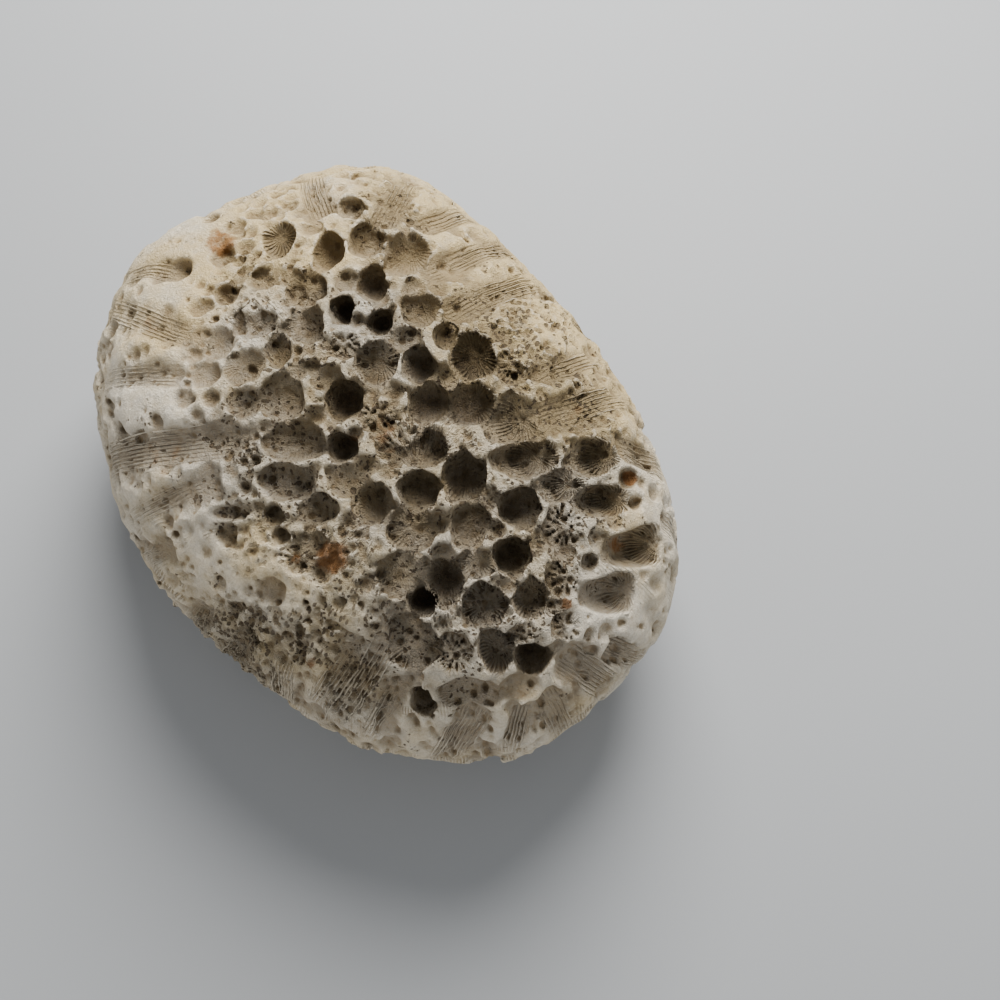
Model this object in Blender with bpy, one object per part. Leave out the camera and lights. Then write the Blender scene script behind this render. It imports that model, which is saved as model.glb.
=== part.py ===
"""A worn fossil coral head, one domed stone cut off flat beneath.

Its tubes fan out from the foot. On the crown they open as round calices, and on the flanks
they are worn open lengthwise as grooves. The origin is the middle of the flat base, +Z up.
All lengths below are in millimetres until MM turns them into metres.
"""

import math
import random

import bmesh
import bpy
import numpy as np

MM = 0.001

# The stone: radii of the outline at its widest level, at even steps round from +X.
RADII = (27.4, 24.7, 23.9, 27.3, 33.5, 32.7, 33.7, 32.5, 29.0, 26.3, 25.1, 25.6, 28.9, 31.9, 32.9, 30.5)
WIDEST_LEVEL = 13.0
STONE_MIDDLE = np.array((0.73, -2.06, WIDEST_LEVEL))
CROWN_RISE = 21.0
BELLY_DROP = 17.0
PLAN_POWER = 2.5
SWELL = 0.012
SWELL_WAVES = ((0.31, 0.13, 0.0, 0.9), (0.0, 0.27, -0.21, 2.1), (0.17, 0.0, 0.29, 4.0))

# The view that the calice places are given in: from the front and well above, aimed beside the stone.
VIEW_ELEVATION = math.radians(69)
VIEW_DISTANCE = 150.0
AIM_OFFSET = np.array((11.4, -3.3, 0.0))
AIM = STONE_MIDDLE + AIM_OFFSET
RIGHTWARD = np.array((1.0, 0.0, 0.0))
FORWARD = np.array((0, math.cos(VIEW_ELEVATION), -math.sin(VIEW_ELEVATION)))
UPWARD = np.array((0, math.sin(VIEW_ELEVATION), math.cos(VIEW_ELEVATION)))
EYE = AIM - VIEW_DISTANCE * FORWARD

# Calices on the crown, as (across, up, width, height) in that view, from the middle of the stone.
DEEP_CALICES = (
    (-5.9, 21.7, 2.8, 3.6), (-2.1, 22.9, 3.0, 3.4), (2.1, 21.6, 4.0, 4.2), (-8.2, 14.4, 3.4, 3.4),
    (-1.6, 18.4, 2.6, 3.0), (-4.6, 15.8, 2.0, 2.4), (-0.8, 14.5, 2.0, 2.0), (3.4, 16.0, 3.4, 3.0),
    (5.9, 13.2, 1.8, 2.4), (3.1, 10.3, 2.8, 3.2), (4.2, 6.4, 3.6, 3.4), (8.4, 6.3, 3.8, 4.0),
    (-4.5, 6.7, 3.2, 3.4), (-4.6, 1.9, 2.6, 2.2), (3.2, -2.3, 3.4, 3.0), (7.8, -1.0, 3.8, 4.0),
    (13.4, -4.1, 3.6, 3.4), (8.3, -5.8, 3.4, 3.8), (-1.6, -3.7, 3.4, 3.4), (5.7, -11.6, 3.0, 3.6),
    (3.3, -13.9, 2.4, 2.0), (12.5, -9.0, 3.0, 3.2), (14.6, -13.3, 2.8, 3.4), (14.6, -19.4, 3.0, 2.8),
    (3.5, -23.7, 2.2, 2.6), (-11.0, 11.7, 2.2, 2.8), (-16.1, 17.4, 2.0, 1.8), (4.2, 1.9, 3.0, 3.0),
)
CUP_CALICES = (
    (-10.9, 23.0, 3.0, 3.2), (-8.2, 18.0, 3.4, 3.2), (-1.0, 10.5, 3.4, 3.8), (8.6, 11.1, 3.6, 4.0),
    (12.3, 4.9, 4.8, 4.6), (13.7, 0.8, 5.0, 3.0), (20.8, 1.0, 4.0, 3.2), (21.8, -3.4, 4.0, 2.8),
    (17.4, -1.8, 3.6, 2.8), (2.3, -6.2, 4.0, 3.6), (1.6, -10.9, 4.6, 4.2), (9.8, -13.9, 3.8, 3.4),
    (11.0, -18.6, 2.8, 3.6), (2.5, -17.9, 4.6, 5.0), (22.5, -12.7, 4.2, 4.6), (9.0, -9.7, 3.6, 2.4),
)
FILLED_CALICES = (
    (6.7, -18.8, 3.2, 3.6), (14.0, -16.8, 2.8, 1.6), (18.2, -16.1, 2.8, 2.6), (18.0, -11.1, 3.4, 3.4),
    (17.8, -5.9, 3.6, 4.0), (12.8, 10.4, 3.2, 3.4), (-1.0, 5.1, 3.4, 2.6), (1.0, 1.9, 2.6, 2.6),
    (-4.3, 12.3, 2.8, 2.4), (-13.3, 14.6, 4.0, 2.6), (-14.5, 10.3, 4.0, 3.4), (-10.6, 7.2, 4.2, 4.0),
    (-14.5, 6.6, 3.2, 2.6), (-6.1, 9.0, 3.0, 2.4), (1.9, 13.0, 3.4, 2.4), (5.8, 9.2, 2.4, 2.2),
    (-9.4, 2.6, 5.6, 3.4), (-10.2, -1.5, 5.4, 3.0), (-4.1, -1.2, 3.6, 2.8), (-7.0, -4.3, 3.4, 2.6),
    (8.4, -23.1, 6.0, 3.2), (13.7, -22.4, 4.0, 2.8), (-11.9, -12.6, 3.0, 2.6), (-3.7, 26.2, 2.2, 2.0),
)
CALICE_DEPTHS = (
    (DEEP_CALICES, 4.5),
    (CUP_CALICES, 2.2),
    (FILLED_CALICES, 1.1),
)
CALICE_TAPER = 0.72
LEAN_TO_VIEW = 0.75

# Small holes between the calices, as (across, up, width).
HOLES = (
    (-12.8, 19.3, 1.6), (-3.0, 14.8, 1.2), (-7.6, 10.1, 1.4), (-1.7, 7.3, 1.4), (11.1, -6.3, 1.7),
    (12.3, -11.9, 1.4), (14.9, 3.1, 1.4), (20.6, -9.6, 1.4), (18.0, -8.6, 1.6), (25.1, -3.6, 1.4),
    (-19.4, 11.4, 1.4), (-11.4, -4.8, 1.6), (20.7, -18.7, 1.3), (-8.6, 4.5, 1.1), (17.2, -18.5, 1.8),
    (24.4, -1.1, 1.8), (5.1, -5.6, 1.8), (-24.9, 2.9, 1.2), (-15.5, -14.3, 1.2), (-22.1, -5.5, 1.1),
)
HOLE_DEPTH = 1.5
HOLE_SIDES = 6

# Tubes worn open on the flanks, as (across, up) of the inner end, of the outer end, and width.
GROOVES = (
    (-16.4, 3.0, -28.1, -1.3, 3.6), (-18.1, -1.3, -25.1, -5.3, 2.6), (-17.1, 12.5, -28.6, 14.2, 3.0),
    (-21.0, 19.9, -25.1, 19.7, 2.2), (-21.6, 9.5, -28.1, 8.2, 2.4), (-22.4, -8.4, -24.4, -9.6, 2.6),
    (-18.6, -14.9, -20.0, -16.6, 2.4), (-14.5, -17.6, -16.0, -19.6, 2.6), (-4.1, -19.6, -6.1, -22.7, 3.0),
    (1.4, -15.3, -5.1, -26.3, 2.8), (1.2, -22.3, -1.1, -26.3, 2.4), (8.4, -25.5, 6.6, -29.0, 3.6),
    (14.0, -25.2, 13.4, -27.4, 2.4), (16.7, -24.1, 17.9, -26.6, 3.2), (19.1, -19.8, 22.2, -22.2, 3.8),
    (23.3, -18.6, 25.4, -19.6, 2.4), (22.4, -8.0, 26.9, -8.5, 3.6), (24.6, 1.8, 26.8, 1.0, 2.8),
    (16.5, 5.4, 23.4, 7.4, 3.4), (16.3, 9.7, 20.2, 11.0, 2.4), (7.5, 16.2, 14.5, 18.4, 2.8),
    (5.1, 20.2, 12.4, 21.9, 2.6), (4.4, 24.5, 7.6, 25.6, 2.4), (-0.1, 25.2, 1.7, 28.4, 2.6),
    (-6.8, 26.2, -7.4, 28.6, 2.6),
)
GROOVE_DEPTHS = (1.3, 0.9, 0.25)
GROOVE_RUN_ON = 4.0

# Grooves that ring the flank wherever those leave room: (level of the inner ends, how many, length).
FLANK_RINGS = ((22.0, 30, 10.0), (16.0, 30, 10.0), (9.0, 30, 6.0))
FLANK_GROOVE_WIDTH = 3.0
FLANK_GROOVE_DEPTHS = (0.9, 0.9, 0.3)
FLANK_SPACING = 4.3

CALICE_SIDES = 8
GROOVE_SIDES = 8
STONE_CUTS = 12
OVERSHOOT = 2.5
FAR_OUT = 60.0
SEARCH_STEPS = 121
HALVINGS = 24


def outline_radius(angle):
    """Radius of the stone at its widest level, on a smooth curve through RADII."""
    count = len(RADII)
    place = angle / (2 * math.pi) * count
    step = math.floor(place)
    part = place - step
    before, here, after, beyond = (RADII[(step + k) % count] for k in (-1, 0, 1, 2))
    slope_in, slope_out = (after - before) / 2, (beyond - here) / 2
    return (
        (2 * part**3 - 3 * part**2 + 1) * here
        + (part**3 - 2 * part**2 + part) * slope_in
        + (3 * part**2 - 2 * part**3) * after
        + (part**3 - part**2) * slope_out
    )


def swell(point):
    """Slow lumps in the stone, as a share of its radius."""
    x, y, z = point
    return SWELL * sum(math.sin(a * x + b * y + c * z + start) for a, b, c, start in SWELL_WAVES)


def stone_value(point):
    """Below zero inside the uncut stone, above zero outside it."""
    x, y, z = point - STONE_MIDDLE
    spread = math.hypot(x, y) / outline_radius(math.atan2(y, x))
    rise = z / (CROWN_RISE if z > 0 else BELLY_DROP)
    return spread**PLAN_POWER + rise**2 - 1 - 2 * swell(point)


def normal_at(point):
    step = 0.05
    slopes = [stone_value(point + step * axis) - stone_value(point - step * axis) for axis in np.eye(3)]
    return np.array(slopes) / np.linalg.norm(slopes)


def narrowed(start, direction, outer, inner):
    """How far along a line the surface lies, between a distance outside it and one inside it."""
    for _ in range(HALVINGS):
        middle = (outer + inner) / 2
        if stone_value(start + middle * direction) < 0:
            inner = middle
        else:
            outer = middle
    return inner


def crossing(start, direction, near, far):
    """Where a line from start first enters the stone between two distances, or passes closest to it."""
    distances = np.linspace(near, far, SEARCH_STEPS)
    values = [stone_value(start + distance * direction) for distance in distances]
    first = next((place for place, value in enumerate(values) if value < 0), None)
    if first is None:
        return start + distances[int(np.argmin(values))] * direction
    return start + narrowed(start, direction, distances[max(first - 1, 0)], distances[first]) * direction


def sighted(across, up):
    """The point of the stone seen at a place in the view, and the direction it is seen along."""
    target = AIM + (across - AIM_OFFSET[0]) * RIGHTWARD + (up - AIM_OFFSET[1]) * UPWARD
    direction = (target - EYE) / np.linalg.norm(target - EYE)
    return crossing(EYE, direction, VIEW_DISTANCE - 40, VIEW_DISTANCE + 40), direction


def settled(point):
    """The point moved along its normal onto the stone's surface."""
    for _ in range(6):
        normal = normal_at(point)
        slope = (stone_value(point + 0.1 * normal) - stone_value(point - 0.1 * normal)) / 0.2
        point = point - normal * stone_value(point) / slope
    return point


def walk(start, heading, length, steps):
    """Points along the surface from start, each heading straight on."""
    points = [settled(start)]
    for _ in range(steps):
        normal = normal_at(points[-1])
        heading = heading - normal * heading.dot(normal)
        heading = heading / np.linalg.norm(heading)
        points.append(settled(points[-1] + heading * length / steps))
    return points


def add_tube(mesh, rings):
    """Skins closed rings of points, the first ring outermost, and caps both ends."""
    rows = [[mesh.verts.new(point * MM) for point in ring] for ring in rings]
    for upper, lower in zip(rows, rows[1:]):
        for side in range(len(upper)):
            following = (side + 1) % len(upper)
            mesh.faces.new((upper[side], lower[side], lower[following], upper[following]))
    mesh.faces.new(rows[0])
    mesh.faces.new(reversed(rows[-1]))


def ring(centre, across, upward, width, height, sides, turn):
    """The corners of an upright oval, from `turn` of a side round."""
    angles = [2 * math.pi * (side + turn) / sides for side in range(sides)]
    return [
        centre + across * width / 2 * math.cos(angle) + upward * height / 2 * math.sin(angle)
        for angle in angles
    ]


def cutter(name, build):
    """A hidden object to cut from the stone, whose mesh build fills in."""
    mesh = bmesh.new()
    build(mesh)
    bmesh.ops.recalc_face_normals(mesh, faces=mesh.faces)
    return finished(name, mesh, hidden=True)


def finished(name, mesh, hidden=False):
    """An object of its own for a mesh, drawn as wires and left out of the render if it is hidden."""
    data = bpy.data.meshes.new(name)
    mesh.to_mesh(data)
    mesh.free()
    thing = bpy.data.objects.new(name, data)
    bpy.context.scene.collection.objects.link(thing)
    if hidden:
        thing.hide_render = True
        thing.display_type = "WIRE"
    return thing


def add_calice(mesh, across, up, width, height, depth, sides, turn):
    """A tapered tube that leans between the view and the surface's own normal."""
    mouth, sight = sighted(across, up)
    inward = LEAN_TO_VIEW * sight - (1 - LEAN_TO_VIEW) * normal_at(mouth)
    inward /= np.linalg.norm(inward)
    side = np.cross(inward, UPWARD)
    side /= np.linalg.norm(side)
    upward = np.cross(side, inward)
    spans = ((-OVERSHOOT, 1.0), (depth, CALICE_TAPER))
    rings = [
        ring(mouth + inward * along, side, upward, width * wide, height * wide, sides, turn)
        for along, wide in spans
    ]
    add_tube(mesh, rings)


def add_calices(mesh):
    chance = random.Random(4)
    for calices, depth in CALICE_DEPTHS:
        for calice in calices:
            add_calice(mesh, *calice, depth * chance.uniform(0.85, 1.15), CALICE_SIDES, chance.random())
    for across, up, width in HOLES:
        add_calice(mesh, across, up, width, width, HOLE_DEPTH, HOLE_SIDES, chance.random())


def seen_grooves():
    for inner_x, inner_y, outer_x, outer_y, width in GROOVES:
        inner, _ = sighted(inner_x, inner_y)
        outer, _ = sighted(outer_x, outer_y)
        heading = outer - inner
        length = np.linalg.norm(heading) + GROOVE_RUN_ON
        yield walk(inner, heading, length, 2), width, GROOVE_DEPTHS


def flank_grooves(others):
    """Grooves straight down the flank, each kept only where it is clear of all others."""
    chance = random.Random(9)
    used = [point for path, _, _ in others for point in path]
    for level, count, length in FLANK_RINGS:
        for place in range(count):
            angle = 2 * math.pi * (place + chance.uniform(-0.3, 0.3)) / count
            outward = np.array((math.cos(angle), math.sin(angle), 0))
            height = np.array((0, 0, level + chance.uniform(-1.5, 1.5)))
            start = crossing(height + FAR_OUT * outward, -outward, 0, FAR_OUT)
            path = walk(start, np.array((0, 0, -1.0)), length * chance.uniform(0.8, 1.1), 2)
            width = FLANK_GROOVE_WIDTH * chance.uniform(0.8, 1.1)
            if all(np.linalg.norm(point - other) > FLANK_SPACING for point in path for other in used):
                used += path
                yield path, width, FLANK_GROOVE_DEPTHS


def add_groove(mesh, path, width, depths):
    """A tube laid along the surface, sunk by each depth in turn."""
    rings = []
    for place, point in enumerate(path):
        normal = normal_at(point)
        before, after = path[max(place - 1, 0)], path[min(place + 1, len(path) - 1)]
        across = np.cross(normal, after - before)
        across /= np.linalg.norm(across)
        centre = point + normal * (width / 2 - depths[place])
        rings.append(ring(centre, across, normal, width, width, GROOVE_SIDES, 0.5))
    add_tube(mesh, rings)


def add_grooves(mesh):
    seen = list(seen_grooves())
    for groove in seen + list(flank_grooves(seen)):
        add_groove(mesh, *groove)


def make_stone():
    """A cube divided into a net of quads, blown out to the stone's surface and cut off at the base."""
    mesh = bmesh.new()
    bmesh.ops.create_cube(mesh, size=2)
    bmesh.ops.subdivide_edges(mesh, edges=mesh.edges, cuts=STONE_CUTS, use_grid_fill=True)
    for vertex in mesh.verts:
        eased = [math.tan(value * math.pi / 4) for value in vertex.co]
        outward = np.array(eased) / np.linalg.norm(eased)
        reach = narrowed(STONE_MIDDLE, outward, FAR_OUT, 0.0)
        vertex.co = (STONE_MIDDLE + reach * outward) * MM
    cut = bmesh.ops.bisect_plane(
        mesh,
        geom=mesh.verts[:] + mesh.edges[:] + mesh.faces[:],
        plane_co=(0, 0, 0),
        plane_no=(0, 0, 1),
        clear_inner=True,
    )
    rim = [item for item in cut["geom_cut"] if isinstance(item, bmesh.types.BMEdge)]
    bmesh.ops.contextual_create(mesh, geom=rim)
    bmesh.ops.triangulate(mesh, faces=[face for face in mesh.faces if len(face.verts) == 4])
    bmesh.ops.recalc_face_normals(mesh, faces=mesh.faces)
    return finished("coral_head", mesh)


def cut_with(stone, tool):
    cut = stone.modifiers.new(tool.name, "BOOLEAN")
    cut.operation = "DIFFERENCE"
    cut.solver = "EXACT"
    cut.use_self = True
    cut.object = tool


def chalky_stone():
    material = bpy.data.materials.new("chalky_stone")
    material.use_nodes = True
    surface = material.node_tree.nodes["Principled BSDF"]
    surface.inputs["Base Color"].default_value = (0.58, 0.52, 0.43, 1)
    surface.inputs["Roughness"].default_value = 0.9
    surface.inputs["Metallic"].default_value = 0
    return material


for thing in list(bpy.data.objects):
    bpy.data.objects.remove(thing)

coral_head = make_stone()
coral_head.data.materials.append(chalky_stone())
cut_with(coral_head, cutter("groove_cutter", add_grooves))
cut_with(coral_head, cutter("calice_cutter", add_calices))
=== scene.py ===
"""The looks of a worn fossil coral head: its stone, its calices, its ribs and its chalky finish.

Lengths are in millimetres until MM turns them into metres, except for the lights and the camera.
"""

import math
import random

import bpy
import numpy as np
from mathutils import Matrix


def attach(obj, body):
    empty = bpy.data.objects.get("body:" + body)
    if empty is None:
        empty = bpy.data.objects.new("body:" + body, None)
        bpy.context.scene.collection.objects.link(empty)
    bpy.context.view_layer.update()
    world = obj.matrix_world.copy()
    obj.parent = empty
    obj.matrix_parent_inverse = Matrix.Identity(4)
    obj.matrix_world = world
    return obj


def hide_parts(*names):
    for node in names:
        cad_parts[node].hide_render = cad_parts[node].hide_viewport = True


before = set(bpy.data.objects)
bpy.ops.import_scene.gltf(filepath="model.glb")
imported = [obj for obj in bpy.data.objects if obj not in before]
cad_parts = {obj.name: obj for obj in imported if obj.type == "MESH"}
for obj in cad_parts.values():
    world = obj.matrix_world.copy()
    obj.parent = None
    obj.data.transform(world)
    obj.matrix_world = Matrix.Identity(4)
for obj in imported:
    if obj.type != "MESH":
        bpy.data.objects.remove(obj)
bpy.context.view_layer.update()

MM = 0.001

# The stone: radii of the outline at its widest level, at even steps round from +X.
RADII = (27.4, 24.7, 23.9, 27.3, 33.5, 32.7, 33.7, 32.5, 29.0, 26.3, 25.1, 25.6, 28.9, 31.9, 32.9, 30.5)
WIDEST_LEVEL = 13.0
STONE_MIDDLE = np.array((0.73, -2.06, WIDEST_LEVEL))
CROWN_RISE = 21.0
BELLY_DROP = 17.0
PLAN_POWER = 2.5
SWELL = 0.012
SWELL_WAVES = ((0.31, 0.13, 0.0, 0.9), (0.0, 0.27, -0.21, 2.1), (0.17, 0.0, 0.29, 4.0))

# The view that the calice places are given in: from the front and well above, aimed beside the stone.
VIEW_ELEVATION = math.radians(69)
VIEW_DISTANCE = 150.0
VIEW_WIDTH = 100.0
AIM_OFFSET = np.array((11.4, -3.3, 0.0))
AIM = STONE_MIDDLE + AIM_OFFSET
RIGHTWARD = np.array((1.0, 0.0, 0.0))
FORWARD = np.array((0, math.cos(VIEW_ELEVATION), -math.sin(VIEW_ELEVATION)))
UPWARD = np.array((0, math.sin(VIEW_ELEVATION), math.cos(VIEW_ELEVATION)))
EYE = AIM - VIEW_DISTANCE * FORWARD

# Calices on the crown, as (across, up, width, height, depth, how ribbed), placed in that view.
DEEP_CALICES = (
    (-5.9, 21.7, 2.8, 3.6, 3.6, 0.1), (-2.1, 22.9, 3.0, 3.4, 3.2, 0.1), (2.1, 21.6, 4.0, 4.2, 3.0, 0.2),
    (-8.2, 14.4, 3.4, 3.4, 2.8, 0.2), (-1.6, 18.4, 2.6, 3.0, 4.6, 0.1), (-4.6, 15.8, 2.0, 2.4, 5.0, 0.0),
    (-0.8, 14.5, 2.0, 2.0, 4.2, 0.0), (3.4, 16.0, 3.4, 3.0, 3.0, 0.3), (5.9, 13.2, 1.8, 2.4, 3.4, 0.2),
    (3.1, 10.3, 2.8, 3.2, 4.0, 0.2), (4.2, 6.4, 3.6, 3.4, 4.0, 0.2), (8.4, 6.3, 3.8, 4.0, 4.0, 0.7),
    (-4.5, 6.7, 3.2, 3.4, 4.0, 0.1), (-4.6, 1.9, 2.6, 2.2, 3.6, 0.1), (3.2, -2.3, 3.4, 3.0, 3.4, 0.1),
    (7.8, -1.0, 3.8, 4.0, 3.6, 0.6), (13.4, -4.1, 3.6, 3.4, 3.6, 0.2), (8.3, -5.8, 3.4, 3.8, 3.2, 0.2),
    (-1.6, -3.7, 3.4, 3.4, 2.8, 0.3), (5.7, -11.6, 3.0, 3.6, 3.6, 0.8), (3.3, -13.9, 2.4, 2.0, 5.0, 0.0),
    (12.5, -9.0, 3.0, 3.2, 4.0, 0.1), (14.6, -13.3, 2.8, 3.4, 2.8, 1.0),
    (14.6, -19.4, 3.0, 2.8, 4.2, 0.2), (3.5, -23.7, 2.2, 2.6, 3.4, 0.2),
    (-11.0, 11.7, 2.2, 2.8, 2.4, 0.1), (-16.1, 17.4, 2.0, 1.8, 1.8, 0.1), (4.2, 1.9, 3.0, 3.0, 2.6, 0.3),
    (-14.9, 14.6, 1.0, 2.0, 1.8, 0.0),
)
CUP_CALICES = (
    (-10.9, 23.0, 3.0, 3.2, 1.6, 0.8), (-8.2, 18.0, 3.6, 3.4, 1.9, 0.2), (-1.0, 10.5, 3.6, 3.8, 1.9, 0.5),
    (8.6, 11.1, 3.8, 4.0, 3.0, 1.0), (12.5, 4.8, 4.6, 4.4, 2.0, 0.6), (13.7, 0.8, 5.0, 3.0, 2.6, 0.8),
    (20.8, 1.0, 4.0, 3.2, 2.3, 1.0), (21.8, -3.4, 4.2, 2.8, 2.3, 1.0), (17.4, -1.8, 3.6, 2.8, 1.8, 1.0),
    (2.3, -6.2, 4.2, 3.8, 1.9, 0.4), (1.6, -10.9, 4.6, 4.2, 1.7, 0.3), (9.8, -13.9, 3.8, 3.4, 1.9, 0.9),
    (11.0, -18.6, 3.0, 3.6, 2.1, 0.7), (2.5, -17.9, 4.6, 5.0, 1.7, 0.4),
    (22.8, -12.8, 4.8, 4.6, 2.3, 0.5), (9.0, -9.7, 3.6, 2.4, 1.4, 0.5), (26.4, -8.0, 5.8, 3.7, 1.5, 1.0),
)
STAR_CALICES = (
    (6.7, -18.8, 3.2, 3.6, 1.0, 1.0), (14.0, -16.8, 2.8, 1.6, 0.9, 1.0),
    (18.2, -16.1, 2.8, 2.6, 0.9, 1.0), (18.0, -11.1, 3.4, 3.4, 1.0, 1.0),
    (17.8, -5.9, 3.6, 4.0, 1.3, 1.0), (12.8, 10.4, 3.2, 3.4, 1.0, 0.9), (-1.0, 5.1, 3.4, 2.6, 1.2, 0.7),
    (1.0, 1.9, 2.6, 2.6, 1.0, 0.6), (-4.3, 12.3, 2.8, 2.4, 1.0, 0.6), (-14.1, 1.2, 2.2, 2.0, 0.7, 0.6),
    (-9.0, -9.2, 2.6, 2.4, 0.7, 0.6), (20.3, -13.2, 2.0, 1.8, 0.8, 0.7),
)
DENTED_CALICES = (
    (-13.3, 14.6, 4.0, 2.6, 1.1, 0.2), (-14.5, 10.3, 4.0, 3.4, 1.1, 0.2),
    (-10.6, 7.2, 4.4, 4.2, 1.6, 0.2), (-14.5, 6.6, 3.4, 2.8, 1.1, 0.2), (-6.1, 9.0, 3.0, 2.4, 1.1, 0.3),
    (1.9, 13.0, 3.4, 2.4, 1.3, 0.3), (5.8, 9.2, 2.6, 2.2, 1.4, 0.3), (-9.4, 2.6, 5.8, 3.6, 2.0, 0.3),
    (-10.2, -1.5, 5.6, 3.2, 1.6, 0.3), (-4.1, -1.2, 3.8, 3.0, 1.2, 0.6), (-7.0, -4.3, 3.6, 2.8, 1.5, 0.2),
    (8.4, -23.1, 6.2, 3.4, 1.4, 0.2), (13.7, -22.4, 4.0, 3.0, 0.9, 0.1),
    (-11.9, -12.6, 3.2, 2.8, 0.8, 0.1), (-3.7, 26.2, 2.4, 2.2, 1.5, 0.2),
    (-11.6, 3.9, 2.8, 1.6, 0.8, 0.1), (-2.4, 0.1, 2.4, 1.8, 0.9, 0.3), (-3.8, -5.5, 2.0, 1.4, 0.8, 0.1),
    (17.2, -18.5, 2.2, 1.4, 1.2, 0.1), (-7.7, 24.1, 2.4, 1.4, 0.8, 0.1),
    (-18.8, 16.2, 2.6, 1.8, 0.7, 0.1), (-16.3, -4.7, 3.4, 1.4, 0.8, 0.1),
    (-7.6, -7.6, 2.6, 2.2, 1.1, 0.1), (-14.4, -17.4, 3.0, 2.6, 1.0, 0.5),
    (17.2, -14.0, 2.4, 1.4, 0.9, 0.1), (15.4, -7.6, 2.2, 1.6, 0.9, 0.2), (10.5, -3.2, 1.8, 2.2, 1.0, 0.2),
    (5.6, -8.8, 2.2, 1.8, 1.0, 0.2), (-12.7, 18.7, 2.6, 1.6, 1.0, 0.2), (-21.0, 19.9, 2.8, 2.2, 1.4, 0.1),
    (-18.6, 9.6, 3.6, 2.6, 0.9, 0.1), (-0.6, 17.0, 1.6, 1.6, 1.0, 0.1), (-17.0, 12.8, 2.6, 3.2, 1.2, 0.3),
    (-17.8, 2.8, 3.2, 2.6, 1.3, 0.3), (-7.3, 5.2, 2.2, 1.8, 0.9, 0.2), (11.6, 13.6, 2.4, 1.6, 0.7, 0.1),
    (0.6, 7.9, 1.8, 1.6, 0.8, 0.2),
)

# Small holes between the calices, as (across, up, width).
HOLES = (
    (-12.8, 19.3, 1.6), (-3.0, 14.8, 1.2), (-7.6, 10.1, 1.4), (-1.7, 7.3, 1.4), (11.1, -6.3, 1.7),
    (12.3, -11.9, 1.4), (14.9, 3.1, 1.4), (20.6, -9.6, 1.4), (18.0, -8.6, 1.6), (25.1, -3.6, 1.4),
    (-19.4, 11.4, 1.4), (-11.4, -4.8, 1.6), (20.7, -18.7, 1.3), (-8.6, 4.5, 1.1), (17.2, -18.5, 1.8),
    (24.4, -1.1, 1.8), (5.1, -5.6, 1.8), (-24.9, 2.9, 1.2), (-15.5, -14.3, 1.2), (-22.1, -5.5, 1.1),
    (-0.1, 22.0, 0.8), (-4.3, 19.2, 1.1), (-7.9, 11.9, 1.1), (-3.2, 3.3, 1.0), (0.6, 6.5, 0.8),
    (3.1, 8.2, 1.1), (10.6, -3.1, 1.0), (-14.9, 14.5, 0.9), (-15.9, 24.1, 1.0), (-14.3, -2.1, 1.0),
    (-10.7, -7.0, 1.2), (-7.8, -5.8, 1.2), (-16.5, -6.4, 0.8), (-15.5, -7.8, 0.8), (-19.6, 6.9, 0.8),
    (-20.1, 8.3, 0.8), (-23.3, 4.9, 0.7), (-25.9, 10.0, 0.6), (16.1, 11.0, 0.7), (15.6, 9.5, 0.6),
    (23.5, 3.0, 0.9), (10.2, 14.0, 0.7), (-6.6, 20.5, 0.7), (21.4, -21.6, 0.6), (23.7, -15.7, 0.7),
)

# Wider hollows are cut deeper than listed, because the rounding of their rims makes them look shallow.
DEEPENED = {"dent": 1.3, "cup": 1.3, "star": 1.0, "deep": 1.05}

# The wall left between neighbouring calices, how far apart they may be to count as neighbours, and the
# least share of its size that a calice keeps.
WALL = 0.25
NEIGHBOUR_REACH = 8.0
LEAST_SHARE = 0.8

# How far calices lean to the right and up. The cups on the right flank lean more.
LEAN = (0.12, 0.1)
FLANK_LEAN = (0.5, 0.1)
RIGHT_FLANK = 12.0

# Tubes worn open on the flanks, as (across, up) of the inner end, of the outer end, and width.
GROOVES = (
    (-16.4, 3.0, -28.1, -1.3, 3.6), (-18.1, -1.3, -25.1, -5.3, 2.6), (-17.1, 12.5, -28.6, 14.2, 3.0),
    (-21.0, 19.9, -25.1, 19.7, 2.2), (-21.6, 9.5, -28.1, 8.2, 2.4), (-22.4, -8.4, -24.4, -9.6, 2.6),
    (-18.6, -14.9, -20.0, -16.6, 2.4), (-14.5, -17.6, -16.0, -19.6, 2.6), (-4.1, -19.6, -6.1, -22.7, 3.0),
    (1.4, -15.3, -5.1, -26.3, 2.8), (1.2, -22.3, -1.1, -26.3, 2.4), (8.4, -25.5, 6.6, -29.0, 3.6),
    (14.0, -25.2, 13.4, -27.4, 2.4), (16.7, -24.1, 17.9, -26.6, 3.2), (19.1, -19.8, 22.2, -22.2, 3.8),
    (23.3, -18.6, 25.4, -19.6, 2.4), (24.6, 1.8, 26.8, 1.0, 2.8), (16.5, 5.4, 23.4, 7.4, 3.4),
    (16.3, 9.7, 20.2, 11.0, 2.4), (7.5, 16.2, 14.5, 18.4, 2.8), (5.1, 20.2, 12.4, 21.9, 2.6),
    (4.4, 24.5, 7.6, 25.6, 2.4), (-0.1, 25.2, 1.7, 28.4, 2.6), (-6.8, 26.2, -7.4, 28.6, 2.6),
)
# Their depths at the inner end, halfway and at the outer end, and how far they run on past the view.
GROOVE_DEPTHS = (1.5, 0.8, 0.15)
WORN_GROOVE_DEPTHS = (1.1, 0.5, 0.12)
GROOVE_RUN_ON = 4.0

# The worn ones begin left of one place, or left of another and below it.
LEFT_FLANK = -17.0
FRONT_FLANK = (3.0, -14.0)

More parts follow.
